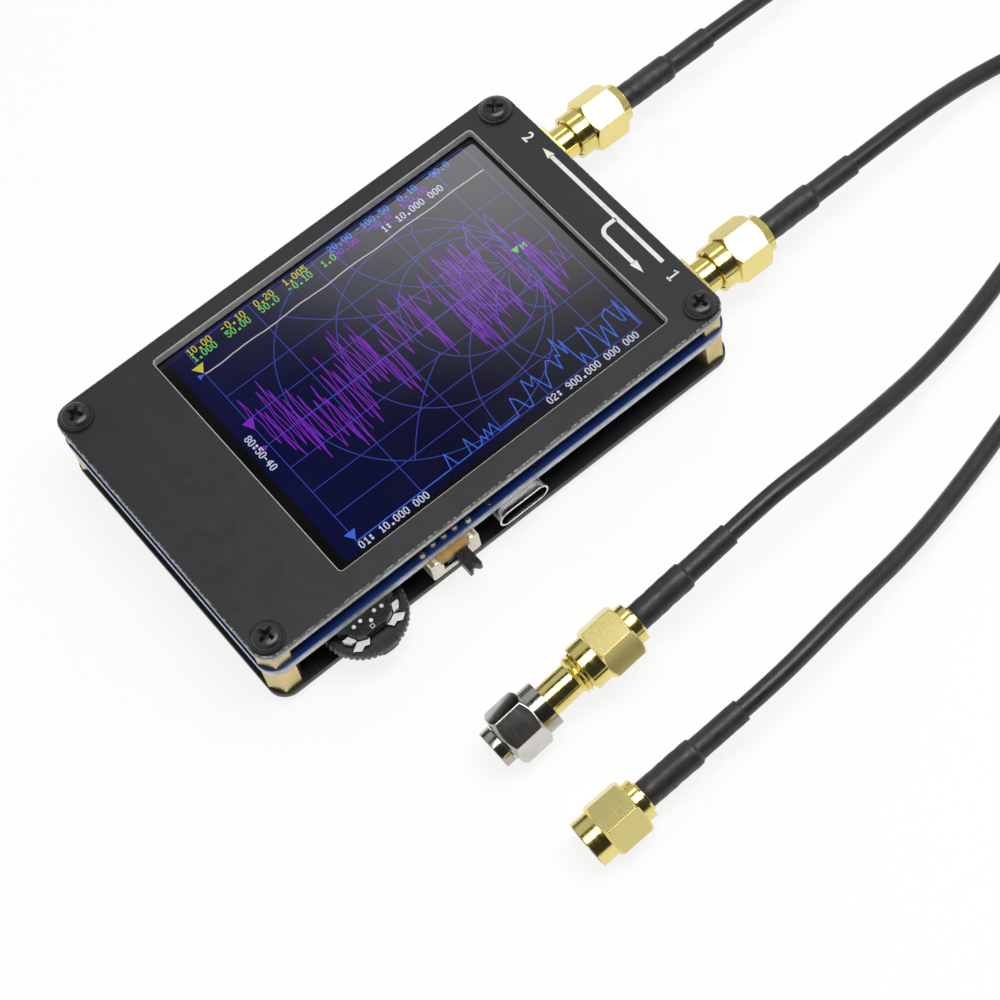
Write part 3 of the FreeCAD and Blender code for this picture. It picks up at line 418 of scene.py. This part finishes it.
# Nodes whose finish isn't simply that of their slot.
own_finish = {
    "rear_panel": "rear_black", "thumbwheel": "wheel_plastic",
    "power_switch_shell": "switch_white", "power_switch_pins": "solder",
    "wheel_contacts": "bright_tin", "wheel_springs": "bright_tin",
}
# Widths of the small bevels on the edges of the CAD nodes, in millimetres.
edge_width = {
    "front_panel": 0.16, "main_board": 0.08, "rear_panel": 0.1, "upper_standoffs": 0.14,
    "lower_standoffs": 0.14, "thumbwheel": 0.05, "wheel_base": 0.1, "wheel_springs": 0.03,
    "power_switch_shell": 0.06, "power_switch_base": 0.05, "power_switch_lever": 0.08,
    "usb_shell": 0.05, "usb_insert": 0.04, "display_frame": 0.1, "touch_panel": 0.08,
    "port_1_shell": 0.1, "port_2_shell": 0.1, "load_nut": 0.12, "load_body": 0.12,
    "microcontroller": 0.06, "board_chips": 0.06, "shield_cans": 0.12, "board_passives": 0.06,
    "battery_cell": 0.5, "battery_header": 0.1, "flex_connector": 0.06,
}
for plug in ("cable_1_near", "cable_2_near", "cable_1_far", "cable_2_far"):
    edge_width[plug + "_nut"] = 0.1
    edge_width[plug + "_body"] = 0.08
# Which of a node's finishes its bevels take, where it isn't that of the faces beside them.
edge_finish = {
    "front_panel": 1, "cable_1_near_nut": 0, "cable_2_near_nut": 0, "cable_1_far_nut": 0,
    "cable_2_far_nut": 0, "load_nut": 2,
}


def soften(obj, width, finish):
    """Small bevels on the sharp edges of a CAD node, and even shading on its round ones."""
    for face in obj.data.polygons:
        face.use_smooth = True
    weld = obj.modifiers.new("weld", "WELD")
    weld.merge_threshold = weld_gap
    flatten = obj.modifiers.new("flatten", "DECIMATE")
    flatten.decimate_type = "DISSOLVE"
    flatten.angle_limit = math.radians(0.3)
    flatten.delimit = {"MATERIAL"}
    bevel = obj.modifiers.new("bevel", "BEVEL")
    bevel.width = width * mm
    bevel.segments = 2
    bevel.material = finish
    bevel.use_clamp_overlap = "_nut" in obj.name
    bevel.limit_method = "ANGLE"
    bevel.angle_limit = math.radians(30)
    shade = obj.modifiers.new("shade", "WEIGHTED_NORMAL")
    shade.weight = 80


for name, obj in nodes.items():
    obj.data.materials.clear()
    obj.data.materials.append(mats[own_finish.get(name, slot_of[name])])
    if name in edge_width:
        soften(obj, edge_width[name], edge_finish.get(name, -1))


def frame_on(origin, along):
    """Place of a connector: its axis is X, and its nut's mouth is at 0."""
    x_axis = Vector(along).normalized()
    y_axis = Vector((0, 0, 1)).cross(x_axis).normalized()
    turn = Matrix((x_axis, y_axis, x_axis.cross(y_axis))).transposed().to_4x4()
    return Matrix.Translation(at(*origin)) @ turn


# The near plugs sit on the ports; the far plugs and the load lie as in the photograph.
near_1 = frame_on((47.45, -17.2, 8.5), (1, 0, 0))
near_2 = frame_on((47.45, 16.2, 8.5), (1, 0, 0))
far_1 = frame_on((-23.82, -73.06, 3.6656), (0.990224, -0.009333, 0.139173))
far_2 = frame_on((-8.24, -53.57, 6.7073), (0.987608, 0.012584, 0.156434))
on_load = frame_on((-14.9557, -53.6556, 5.6436), (-0.987608, -0.012584, -0.156434))

# From a nut's axis to its flats, and how far a flat's place and direction may stray.
hex_half = 4.0
level_stray = 0.03
lean = 0.1


def paint(name, extra, chosen):
    """Give a second material to the faces of a CAD node that chosen picks."""
    mesh = nodes[name].data
    mesh.materials.append(mats[extra])
    for face in mesh.polygons:
        if chosen(face):
            face.material_index = 1


def on_flats(place):
    """Picks the six flats of a hexagon about the axis of place."""
    back = place.inverted()

    def chosen(face):
        centre = back @ face.center / mm
        normal = back.to_3x3() @ face.normal
        level = centre.y * normal.y + centre.z * normal.z
        return abs(normal.x) < lean and abs(level - hex_half) < level_stray
    return chosen


def on_ring(place, low, high):
    """Picks the faces whose middle lies between two distances along the axis of place."""
    back = place.inverted()
    return lambda face: low < (back @ face.center).x / mm < high


# Middle and half sizes of the opening for the screen, with a little to spare.
window_x, window_y = 4.4 + panel_x, 0.65 + panel_y
window_half_x, window_half_y = 30.25 + 0.2, 23.35 + 0.2


def on_window(face):
    """Picks the cut wall around the opening for the screen."""
    x, y = face.center.x / mm - window_x, face.center.y / mm - window_y
    return abs(face.normal.z) < lean and abs(x) < window_half_x and abs(y) < window_half_y


for name, place in (("cable_1_near_nut", near_1), ("cable_2_near_nut", near_2),
                    ("cable_1_far_nut", far_1), ("cable_2_far_nut", far_2)):
    paint(name, "gold_flat", on_flats(place))
paint("load_nut", "nickel_flat", on_flats(on_load))
# The third finish of the load's nut, a paler nickel on its bevels, is a painted highlight along its
# ridges.
nodes["load_nut"].data.materials.append(mats["nickel_pale"])
paint("cable_1_far_body", "nickel_pale", on_ring(far_1, 9.8, 10.6))
paint("cable_2_far_body", "nickel_pale", on_ring(far_2, 9.8, 10.6))
paint("front_panel", "window_wall", on_window)


# ---- building blocks of the new pieces ----
def mesh_piece(name, verts, faces, material, hides=(), sharp=None):
    """New piece from points in metres; sharp is the angle from which its edges show."""
    mesh = bpy.data.meshes.new(name)
    mesh.from_pydata([tuple(v) for v in verts], [], faces)
    mesh.materials.append(mats[material])
    shape = bmesh.new()
    shape.from_mesh(mesh)
    bmesh.ops.recalc_face_normals(shape, faces=shape.faces)
    shape.to_mesh(mesh)
    shape.free()
    if sharp is not None:
        for face in mesh.polygons:
            face.use_smooth = True
        mesh.set_sharp_from_angle(angle=math.radians(sharp))
    obj = bpy.data.objects.new(name, mesh)
    bpy.context.collection.objects.link(obj)
    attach(obj, root)
    if hides:
        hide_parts(*hides)
    return obj


def turned(name, place, outline, slot, hides=(), swell=None, ring=False, segments=48):
    """Piece turned about the X axis of place, in the material of its slot.

    The outline gives each x and radius, and is a loop where ring is set. The swell is added to
    the radius, for the x, radius and angle of a point.
    """
    verts = []
    for x, radius in outline:
        for k in range(segments):
            angle = 2 * math.pi * k / segments
            r = radius + (swell(x, radius, angle) if swell else 0.0)
            verts.append(place @ (Vector((x, r * math.cos(angle), r * math.sin(angle))) * mm))
    faces = []
    count = len(outline)
    for i in range(count if ring else count - 1):
        low, high = i * segments, (i + 1) % count * segments
        for k in range(segments):
            m = (k + 1) % segments
            faces.append((low + k, low + m, high + m, high + k))
    if not ring:
        faces.append(tuple(range(segments)))
        faces.append(tuple((count - 1) * segments + k for k in range(segments)))
    return mesh_piece(name, verts, faces, slot, hides, sharp=38.0)


class Strokes:
    """Flat raised marks on an upper face, each a closed prism, gathered into one piece."""

    def __init__(self, low, high):
        self.levels = (low, high)
        self.verts = []
        self.faces = []

    def polygon(self, corners):
        base, count = len(self.verts), len(corners)
        for z in self.levels:
            self.verts += [at(x, y, z) for x, y in corners]
        self.faces.append(tuple(range(base, base + count)))
        self.faces.append(tuple(range(base + count, base + 2 * count)))
        for k in range(count):
            m = (k + 1) % count
            self.faces.append((base + k, base + m, base + count + m, base + count + k))

    def box(self, x0, x1, y0, y1):
        self.polygon([(x0, y0), (x1, y0), (x1, y1), (x0, y1)])

    def line(self, points, width):
        """Straight bars between the points, each a little longer than its run."""
        for start, end in zip(points, points[1:]):
            a, b = Vector(start), Vector(end)
            along = (b - a).normalized() * width / 2
            across = Vector((-along.y, along.x))
            a, b = a - along * 0.6, b + along * 0.6
            self.polygon([a - across, b - across, b + across, a + across])

    def band(self, points, width, closed=False):
        """Band of even width along a smooth line."""
        points = [Vector(p) for p in points]
        count, base = len(points), len(self.verts)
        for k, here in enumerate(points):
            before = points[k - 1] if closed or k else here
            after = points[(k + 1) % count] if closed or k < count - 1 else here
            along = (after - before).normalized()
            across = Vector((-along.y, along.x)) * width / 2
            for z, side in ((0, 1), (0, -1), (1, -1), (1, 1)):
                p = here + across * side
                self.verts.append(at(p.x, p.y, self.levels[z]))
        for k in range(count if closed else count - 1):
            low, high = base + 4 * k, base + 4 * ((k + 1) % count)
            for m in range(4):
                n = (m + 1) % 4
                self.faces.append((low + m, low + n, high + n, high + m))
        if not closed:
            self.faces.append((base, base + 1, base + 2, base + 3))
            self.faces.append(tuple(base + 4 * (count - 1) + m for m in range(4)))

    def piece(self, name, material, slot):
        return mesh_piece(name, self.verts, self.faces, material)


# ---- what the screen shows: a measuring chart with plain numbers ----
# Upper side of the touch film, and the height by which one layer stands over the next.
z_film = 13.4
step = 0.01
# Places on the screen are counted in dots from its upper left.
dots_per_mm = 24.0
screen_left, screen_top = -27.0, 26.0


def dot(px, py):
    """Place on the panels of a dot of the screen."""
    return (screen_left + px / dots_per_mm, screen_top - py / dots_per_mm)


def layer(height):
    """Strokes that stand up to a number of steps above the film."""
    return Strokes(z_film - step, z_film + height * step)


def chart_line(points):
    return [dot(*p) for p in points]


def round_line(centre, radius, steps, start=0.0, end=360.0):
    """Points on a circle, or on the part of it between two angles."""
    angles = [math.radians(start + (end - start) * k / steps) for k in range(steps + 1)]
    return [(centre[0] + radius * math.cos(a), centre[1] + radius * math.sin(a)) for a in angles]


# Each tone's colour or stops, how dim it is between the rows of pixels, and its span along X.
lit_span = (-24.0 + panel_x, 33.0 + panel_x)
lit_tones = {
    "lit_ground": ([(0.0, (0.0006, 0.0022, 0.034)), (0.45, (0.0012, 0.0014, 0.02)),
                    (1.0, (0.001, 0.001, 0.007))], 1.0, lit_span),
    "lit_grid": ([(0.0, (0.03, 0.055, 0.42)), (1.0, (0.055, 0.06, 0.34))], 0.75, lit_span),
    "lit_yellow": ((0.62, 0.54, 0.03), 0.8, None),
    "lit_trace": ((0.62, 0.55, 0.46), 0.8, None),
    "lit_purple": ((0.21, 0.02, 0.56), 0.75, None),
    "lit_blue": ((0.045, 0.15, 0.78), 0.75, None),
    "lit_white": ((0.62, 0.66, 0.86), 0.8, None),
    "lit_green": ((0.16, 0.6, 0.12), 0.8, None),
    "lit_cyan": ((0.06, 0.22, 0.78), 0.8, None),
}
for name, (colour, dim, across) in lit_tones.items():
    mats[name] = lit(name, colour, dim, across)

ground = layer(1)
ground.box(-23.9, 33.0, -21.1, 23.9)
ground.piece("screen_ground", "lit_ground", "glass_dark")

# The square grid.
grid = layer(2)
grid_half = 0.07
left, right = -20.875, 32.25
top, bottom = dot(0, 65)[1], dot(0, 1093)[1]
for px in (147, 431, 711, 995, 1279, 1422):
    x = dot(px, 0)[0]
    grid.box(x - grid_half, x + grid_half, bottom, top)
for k in range(9):
    y = dot(0, 65 + 128.5 * k)[1]
    grid.box(left, right, y - grid_half, y + grid_half)
grid.piece("screen_grid", "lit_grid", "glass_dark")

# The Smith chart: circles of even resistance, arcs of even reactance and its middle line.
smith = layer(3)
middle, reach = Vector((5.917, 1.792)), 20.83
curve_width = 0.15
axis_half = 0.09
for r in (0.0, 1 / 3, 1.0, 3.0):
    centre = (middle.x + reach * r / (1 + r), middle.y)
    smith.band(round_line(centre, reach / (1 + r), 96)[:-1], curve_width, closed=True)
for reactance, limit in ((0.5, 1.0), (1.0, 3.0), (2.0, 10.0), (4.0, 10.0)):
    for sign in (1, -1):
        points = []
        for k in range(41):
            z = complex(limit * (k / 40) ** 2, sign * reactance)
            gamma = (z - 1) / (z + 1)
            points.append((middle.x + reach * gamma.real, middle.y + reach * gamma.imag))
        smith.band(points, curve_width)
smith.box(middle.x - reach, middle.x + reach, middle.y - axis_half, middle.y + axis_half)
smith.piece("screen_smith_chart", "lit_grid", "glass_dark")

phase_trace = [
    (147, 480), (160, 455), (168, 360), (182, 605), (196, 435), (222, 705), (262, 340), (283, 775),
    (292, 470), (306, 690), (322, 440), (350, 775), (398, 492), (408, 825), (422, 630), (433, 830),
    (475, 405), (502, 785), (536, 440), (548, 660), (576, 350), (616, 670), (642, 365), (656, 750),
    (664, 570), (678, 810), (716, 440), (752, 640), (792, 370), (818, 605), (846, 360), (870, 750),
    (884, 435), (922, 520), (960, 380), (975, 832), (996, 520), (1014, 832), (1042, 340),
    (1058, 835), (1080, 330), (1098, 760), (1127, 345), (1150, 820), (1166, 385), (1176, 495),
    (1190, 385), (1214, 328), (1247, 835), (1270, 440), (1300, 345), (1312, 825), (1328, 470),
    (1350, 775), (1376, 630), (1392, 710), (1420, 575),
]
level_trace = [
    (147, 1093), (560, 1093), (576, 1030), (592, 1093), (650, 1093), (664, 1028), (680, 1093),
    (700, 1090), (716, 1060), (728, 1088), (740, 1045), (750, 1085), (768, 1040), (782, 1090),
    (866, 1088), (884, 1012), (900, 1035), (915, 1088), (930, 1090), (944, 1050), (958, 982),
    (975, 1030), (996, 992), (1008, 1040), (1020, 1080), (1040, 1025), (1072, 980), (1085, 990),
    (1098, 1045), (1112, 985), (1122, 1000), (1136, 915), (1150, 1010), (1160, 945), (1172, 1090),
    (1184, 1040), (1200, 1090), (1222, 1090), (1238, 948), (1256, 975), (1278, 1090), (1306, 1000),
    (1322, 1080), (1336, 975), (1362, 955), (1376, 1035), (1388, 1045), (1402, 945), (1414, 1090),
    (1420, 1000),
]

# Length of a trace's small steps, and the height from which a stroke turns back, in dots.
ragged_step = 54.0
long_stroke = 260
# Share of the way along a long stroke where it turns, and between which shares of its height.
turns_back = ((0.4, 0.8, 0.95), (0.6, 0.08, 0.25))


def ragged(points, size):
    """The same line with the small steps that a measured trace has."""
    out = [points[0]]
    for start, end in zip(points, points[1:]):
        count = max(1, round(math.dist(start, end) / ragged_step))
        for k in range(1, count + 1):
            share = k / count
            shift = 0.0 if k == count else random.uniform(-size, size)
            out.append((start[0] + (end[0] - start[0]) * share + shift,
                        start[1] + (end[1] - start[1]) * share))
    return out


def restless(points):
    """The same line, turning back twice on each of its long strokes."""
    out = [points[0]]
    for start, end in zip(points, points[1:]):
        if abs(end[1] - start[1]) > long_stroke:
            for share, least, most in turns_back:
                out.append((start[0] + (end[0] - start[0]) * share,
                            start[1] + (end[1] - start[1]) * random.uniform(least, most)))
        out.append(end)
    return out


trace_width = 0.17
purple = layer(5)
purple.line(chart_line(ragged(restless(phase_trace), 5.0)), 0.13)
yellow = layer(4)
flat_trace = [(147 + 21.2 * k, 193 + 2.2 * math.sin(k * 0.55) + random.uniform(-1, 1))
              for k in range(61)]
yellow.line(chart_line(flat_trace), trace_width)
blue = layer(6)
blue.line(chart_line(ragged(level_trace, 2.5)), trace_width)

# Rows of each figure, from the top, as four dots in one digit of base sixteen.
figures = {
    "0": "6999996", "1": "2622227", "2": "691248F", "3": "6916196", "4": "26AAF22", "5": "F8E1196",
    "6": "688E996", "7": "F112244", "8": "6996996", "9": "6997116", ".": "0000066",
    "-": "000E000", ":": "0660660",
}
# Size of a figure's dot, and from one figure to the next, in millimetres.
pixel = 0.18
pitch = 0.9


def write(strokes, text, px, py, upright=True):
    """Figures from a dot of the screen, along it, or down it where upright is False."""
    x0, y0 = dot(px, py)
    for place, letter in enumerate(text):
        for row, code in enumerate(figures.get(letter, "")):
            bits = f"{int(code, 16):04b}"
            start = 0
            while start < 4:
                end = start
                while end < 4 and bits[end] == "1":
                    end += 1
                if end > start:
                    a, b = place * pitch + start * pixel, place * pitch + end * pixel
                    c, d = row * pixel, (row + 1) * pixel
                    if upright:
                        strokes.box(x0 + a, x0 + b, y0 - d, y0 - c)
                    else:
                        strokes.box(x0 - d, x0 - c, y0 - b, y0 - a)
                start = end + 1


white, green, cyan = layer(7), layer(7), layer(7)
digits_yellow, digits_purple = layer(7), layer(7)
write(digits_yellow, "10.00  -0.10  0.20  1.005", 147, 66)
write(cyan, "20.00 -100.50  0.10  -90.0", 785, 66)
write(green, "1.000  50.00  50.0  -0.10  1.0", 147, 100)
write(digits_purple, "90.00  -90.0  120.00", 790, 100)
write(white, "1: 10.000 000", 985, 133)
write(white, "01: 10.000 000", 143, 1099)
write(white, "02: 900.000 000 000", 975, 1099)
write(white, "80:50-40", 120, 505, upright=False)
# Marks: triangles that point down, small ones that point right, and an M by the green one.
for strokes, x0, x1, y0, y1 in (
        (digits_yellow, 120, 170, 147, 185), (digits_purple, 122, 170, 452, 500),
        (blue, 125, 172, 1047, 1085), (green, 1272, 1304, 538, 566)):
    strokes.polygon([dot(x0, y0), dot((x0 + x1) / 2, y1), dot(x1, y0)])
for strokes, y0 in ((blue, 180), (purple, 570)):
    strokes.polygon([dot(120, y0), dot(120, y0 + 22), dot(143, y0 + 11)])
letter_m = [(1310, 566), (1310, 540), (1319, 556), (1328, 540), (1328, 566)]
green.line(chart_line(letter_m), 0.14)
for name, strokes, material in (
        ("screen_level_trace", blue, "lit_blue"), ("screen_phase_trace", purple, "lit_purple"),
        ("screen_flat_trace", yellow, "lit_trace"), ("screen_figures_white", white, "lit_white"),
        ("screen_figures_green", green, "lit_green"), ("screen_figures_cyan", cyan, "lit_cyan"),
        ("screen_figures_yellow", digits_yellow, "lit_yellow"),
        ("screen_figures_purple", digits_purple, "lit_purple")):
    strokes.piece(name, material, "glass_dark")

# ---- print on the front panel: two arrows and the ports' plain numbers ----
z_face = 15.2
print_low, print_high = z_face - step, z_face + 2 * step
arrows = Strokes(print_low, print_high)
arrows.box(40.3, 41.0, -14.5, 11.6)
arrows.polygon([(40.0, 11.5), (41.3, 11.5), (40.65, 13.6)])
bend = round_line((38.75, -5.25), 1.35, 8, 90.0, 180.0)
arrows.band([(40.5, -3.9)] + bend + [(37.4, -11.7)], 0.7)
arrows.polygon([(38.05, -11.6), (36.75, -11.6), (37.4, -14.0)])
arrows.piece("print_arrows", "ink_white", "white_plastic")


def printed_number(name, text, x, y, height):
    """Plain number on the front panel, read from the ports' end."""
    font = bpy.data.curves.new(name, "FONT")
    font.body = text
    # A figure of the font is 0.73 of its size tall.
    font.size = height * mm / 0.73
    font.extrude = 1.5 * step * mm
    font.offset = 0.05 * mm
    font.resolution_u = 4
    font.align_x = "CENTER"
    font.align_y = "CENTER"
    maker = bpy.data.objects.new(name + "_line", font)
    bpy.context.collection.objects.link(maker)
    bpy.context.view_layer.update()
    mesh = bpy.data.meshes.new_from_object(maker)
    turn = Matrix.Rotation(math.radians(-90), 4, "Z")
    place = Matrix.Translation(at(x, y, z_face + 0.5 * step)) @ turn
    verts = [place @ v.co for v in mesh.vertices]
    faces = [tuple(p.vertices) for p in mesh.polygons]
    obj = mesh_piece(name, verts, faces, "ink_white")
    shape = bmesh.new()
    shape.from_mesh(obj.data)
    bmesh.ops.remove_doubles(shape, verts=shape.verts, dist=weld_gap)
    shape.to_mesh(obj.data)
    shape.free()
    bpy.data.objects.remove(maker)
    bpy.data.meshes.remove(mesh)


one = Strokes(print_low, print_high)
one.band([(39.35, -17.4), (41.25, -17.4), (40.85, -16.8)], 0.3)
one.band([(39.35, -17.85), (39.35, -16.95)], 0.3)
one.piece("print_port_1", "ink_white", "white_plastic")
printed_number("print_port_2", "2", x=40.3, y=16.7, height=1.9)

# ---- screws: domed heads with a cross recess, and their shanks ----
screw_x, screw_y = 39.75, 24.0
z_rear = 1.4
shank_radius = 1.5
head_outline = [
    (0.0, shank_radius), (0.0, 2.5), (0.1, 2.6), (0.44, 2.6), (0.56, 2.5), (0.56, 2.3), (0.8, 2.2),
    (1.02, 2.02), (1.2, 1.7), (1.32, 1.3), (1.38, 0.85), (1.4, 0.5),
]
# Width, span and middle of the cross recess, and the share of them left at three heights.
recess_size = (0.76, 3.2, 0.6)
recess_levels = ((1.5, 1.0), (0.95, 0.62), (0.35, 0.3))


def cross(width, span, eye):
    """Outline of a cross recess: four wings and a wider middle."""
    half, tip = width / 2, span / 2
    quarter = [(tip, -half), (tip, half), (eye, half), (half, eye)]
    corners = []
    for k in range(4):
        turn = Matrix.Rotation(math.radians(90 * k), 2)
        corners += [turn @ Vector(p) for p in quarter]
    return corners


def screw_heads(name, z, up, grip, turns):
    """Four screws in one piece; up is 1 on the front and -1 under the rear panel."""
    outline = [(-grip, shank_radius)] + head_outline
    head = turned("screw_head", Matrix(), outline, "screw_black", segments=40)
    recess = cross(*recess_size)
    count = len(recess)
    cutter_verts = [(x * mm, corner.x * scale * mm, corner.y * scale * mm)
                    for x, scale in recess_levels for corner in recess]
    sides = [(r * count + k, r * count + (k + 1) % count, (r + 1) * count + (k + 1) % count,
              (r + 1) * count + k) for r in range(2) for k in range(count)]
    caps = [tuple(range(count)), tuple(range(2 * count, 3 * count))]
    cutter = mesh_piece("screw_recess", cutter_verts, sides + caps, "screw_black")
    cut = head.modifiers.new("recess", "BOOLEAN")
    cut.object = cutter
    cut.solver = "EXACT"
    bpy.context.view_layer.update()
    cut_head = head.evaluated_get(bpy.context.evaluated_depsgraph_get())
    mesh = bpy.data.meshes.new_from_object(cut_head)
    verts, faces = [], []
    stand = Matrix.Rotation(math.radians(-90 * up), 4, "Y")
    corners = [(sx * screw_x, sy * screw_y) for sx in (-1, 1) for sy in (-1, 1)]
    for (x, y), turn in zip(corners, turns):
        spin = Matrix.Rotation(math.radians(turn), 4, "Z")
        place = Matrix.Translation(at(x, y, z)) @ spin @ stand
        base = len(verts)
        verts += [place @ v.co for v in mesh.vertices]
        faces += [tuple(base + v for v in p.vertices) for p in mesh.polygons]
    for maker in (head, cutter):
        bpy.data.objects.remove(maker)
    bpy.data.meshes.remove(mesh)
    return mesh_piece(name + "_heads", verts, faces, "screw_black", (name,),
                      sharp=34.0)


screw_heads("front_screws", z_face, up=1, grip=2.85, turns=(20, 35, 10, 50))
screw_heads("rear_screws", z_rear, up=-1, grip=4.15, turns=(15, 40, 70, 30))

# A small square mark on top of the wheel's housing.
mark = Strokes(9.0 - step, 9.06)
mark.band([(-26.85, -29.75), (-26.3, -29.75), (-26.3, -29.2), (-26.85, -29.2)], 0.12, closed=True)
mark.piece("wheel_housing_mark", "bright_tin", "steel")

# ---- sleeves, slightly uneven where the tube has shrunk over the ferrule ----
# Along the plug's axis: where the sleeve starts, is fully wide, and leaves the ferrule.
sleeve_start = 10.4
skin_start = 10.55
crimp_end = 19.5
# Radii: the sleeve over the ferrule and over the cable, and the two bores under it.
wide = 2.1
thin = 1.72
ferrule_bore = 1.76
cable_bore = 1.42


def crimped(x, radius, angle):
    """Marks of the six-sided crimp under the sleeve, and small waves in its skin."""
    wave = 0.025 * math.sin(3.1 * x + 2 * angle) + 0.02 * math.sin(1.3 * x - angle)
    if radius < 1.9 or x > crimp_end:
        return wave * 0.4
    hold = min(1.0, max(0.0, (x - 11.6) / 0.8), max(0.0, (18.6 - x) / 0.8))
    return wave - 0.06 * hold * (0.5 + 0.5 * math.cos(6 * angle))


def sleeve(name, place, end):
    """Shrunk tube from the plug's body to a place on the cable, open for both."""
    outer = [(sleeve_start, 2.0), (skin_start, 2.08)]
    outer += [(skin_start + (crimp_end - skin_start) * k / 18, wide) for k in range(1, 19)]
    outer += [(19.62, 2.04), (19.75, 1.9), (19.9, 1.78), (20.1, thin + 0.03)]
    outer += [(20.1 + (end - 20.2) * k / 12, thin + 0.02) for k in range(1, 13)]
    outer += [(end, thin - 0.06), (end, cable_bore)]
    inner = [(crimp_end, cable_bore), (crimp_end, ferrule_bore), (sleeve_start, ferrule_bore)]
    return turned(name + "_skin", place, outer + inner, "sleeve_black", (name,), crimped, True)


sleeves_1 = [sleeve("cable_1_near_sleeve", near_1, 27.9), sleeve("cable_1_far_sleeve", far_1, 28.2)]
sleeves_2 = [sleeve("cable_2_near_sleeve", near_2, 27.9), sleeve("cable_2_far_sleeve", far_2, 28.2)]

# ---- coupler: a plain middle between two threads of 36 turns to the inch ----
thread_pitch = 0.7056
thread_depth = 0.3
crest = 3.12
# Share of the pitch over which the crest is flat.
crest_flat = 0.12


def threaded(x, radius, angle):
    """Depth of a right-hand thread below its crest."""
    if radius < crest - 0.001:
        return 0.0
    phase = (x / thread_pitch + angle / (2 * math.pi)) % 1.0
    return -thread_depth * max(0.0, abs(2 * phase - 1) - crest_flat) / (1 - crest_flat)


def thread_rings(start, end):
    """Ten rings to a turn, at the crest's radius."""
    count = math.ceil(abs(end - start) / thread_pitch * 10)
    return [(start + (end - start) * k / count, crest) for k in range(count + 1)]


coupler_outline = [(4.8, 2.3), (4.8, 2.72)] + thread_rings(4.6, -1.45)
coupler_outline += [(-1.6, 2.72), (-1.75, 2.5), (-1.95, 2.46), (-2.1, 2.5), (-6.5, 2.5),
                    (-6.75, 2.5), (-6.95, 2.72)] + thread_rings(-7.1, -11.4)
coupler_outline += [(-11.6, 2.72), (-11.6, 2.3), (-9.7, 2.3), (-9.7, 2.06), (2.9, 2.06),
                    (2.9, 2.3)]
coupler = turned("coupler_threaded", far_2, coupler_outline, "gold", ("coupler_shell",),
                 threaded, True, 64)


# ---- stage and light ----
# Share of the floor that camera and glossy rays see as plain white.
floor_white_share = 0.84


def stage():
    """Pale floor that reads as white around a soft shadow."""
    bpy.ops.mesh.primitive_plane_add(size=6.0, location=(0.05, -0.02, 0.0))
    floor = bpy.context.object
    floor.name = "floor"
    s = Shader("floor_white")
    s.set(Roughness=0.9)
    s.feed("Base Color", s.ramp(s.noise(3.0), [(0.0, (0.90,) * 3), (1.0, (0.93,) * 3)]))
    white_light = s.add("ShaderNodeEmission", Color=(1, 1, 1, 1), Strength=1.0)
    path = s.add("ShaderNodeLightPath").outputs
    seen = s.calc("MAXIMUM", path["Is Camera Ray"], path["Is Glossy Ray"])
    mix = s.add("ShaderNodeMixShader")
    s.link(s.calc("MULTIPLY", seen, floor_white_share), mix.inputs[0])
    s.link(s.bsdf.outputs[0], mix.inputs[1])
    s.link(white_light.outputs[0], mix.inputs[2])
    s.link(mix.outputs[0], s.tree.nodes["Material Output"].inputs["Surface"])
    floor.data.materials.append(s.mat)


def lamp(name, place, size, turn, power):
    """Soft lamp that shines straight down; its size is in metres and its turn in degrees."""
    data = bpy.data.lights.new(name, "AREA")
    data.shape = "RECTANGLE"
    data.size, data.size_y = size
    data.energy = power
    obj = bpy.data.objects.new(name, data)
    bpy.context.collection.objects.link(obj)
    obj.location = at(*place)
    obj.rotation_euler.z = math.radians(turn)


room_grey = 0.6
# Each dark flag: toward where it stands, the cosines of its outer and inner rim, and what is
# left of the grey inside. One is behind the camera and one is over the screen.
flags = (((0.0, -0.766, 0.643), 0.785, 0.82, 0.06), ((0.056, 0.362, 0.93), 0.957, 0.978, 0.03))
# The glow, whose mirror image is the grey sheen on the screen: toward where, rims, strength.
glow_toward = (0.30, 0.56, 0.77)
glow_rims = (0.9895, 0.996)
glow_strength = 2.2


def world():
    """Grey room with two dark flags and a small bright glow; camera rays see 1.0 all over."""
    sky = bpy.data.worlds.new("world")
    bpy.context.scene.world = sky
    sky.use_nodes = True
    tree = Tree(sky.node_tree)
    direction = tree.add("ShaderNodeTexCoord").outputs["Generated"]

    def facing(toward):
        """Cosine between a direction of the room and toward."""
        node = tree.add("ShaderNodeVectorMath", operation="DOT_PRODUCT")
        node.inputs[1].default_value = toward
        tree.link(direction, node.inputs[0])
        return node.outputs["Value"]

    shades = [tree.span(facing(toward), outer, inner, 1.0, left)
              for toward, outer, inner, left in flags]
    room = tree.calc("MULTIPLY", tree.calc("MULTIPLY", *shades), room_grey)
    glow = tree.span(facing(glow_toward), *glow_rims, 0.0, glow_strength)
    seen = tree.add("ShaderNodeMix")
    tree.link(tree.add("ShaderNodeLightPath").outputs["Is Camera Ray"], seen.inputs[0])
    tree.link(tree.calc("ADD", room, glow), seen.inputs[2])
    seen.inputs[3].default_value = 1.0
    background = sky.node_tree.nodes["Background"].inputs
    tree.link(seen.outputs[0], background["Strength"])
    background["Color"].default_value = (1, 1, 1, 1)


stage()
world()
lamp("overhead", place=(88, -86, 450), size=(0.36, 0.236), turn=-17, power=1.5)
bpy.context.scene.view_settings.view_transform = "Standard"

plug_pieces = ("near_nut", "near_body", "far_nut", "far_body", "pins", "insulators")
with_2 = [nodes["cable_2_" + p] for p in plug_pieces] + sleeves_2
with_2 += [coupler] + [nodes[n] for n in ("coupler_insulator", "coupler_contact", "load_nut",
                                          "load_body", "load_pin")]

bpy.context.view_layer.update()
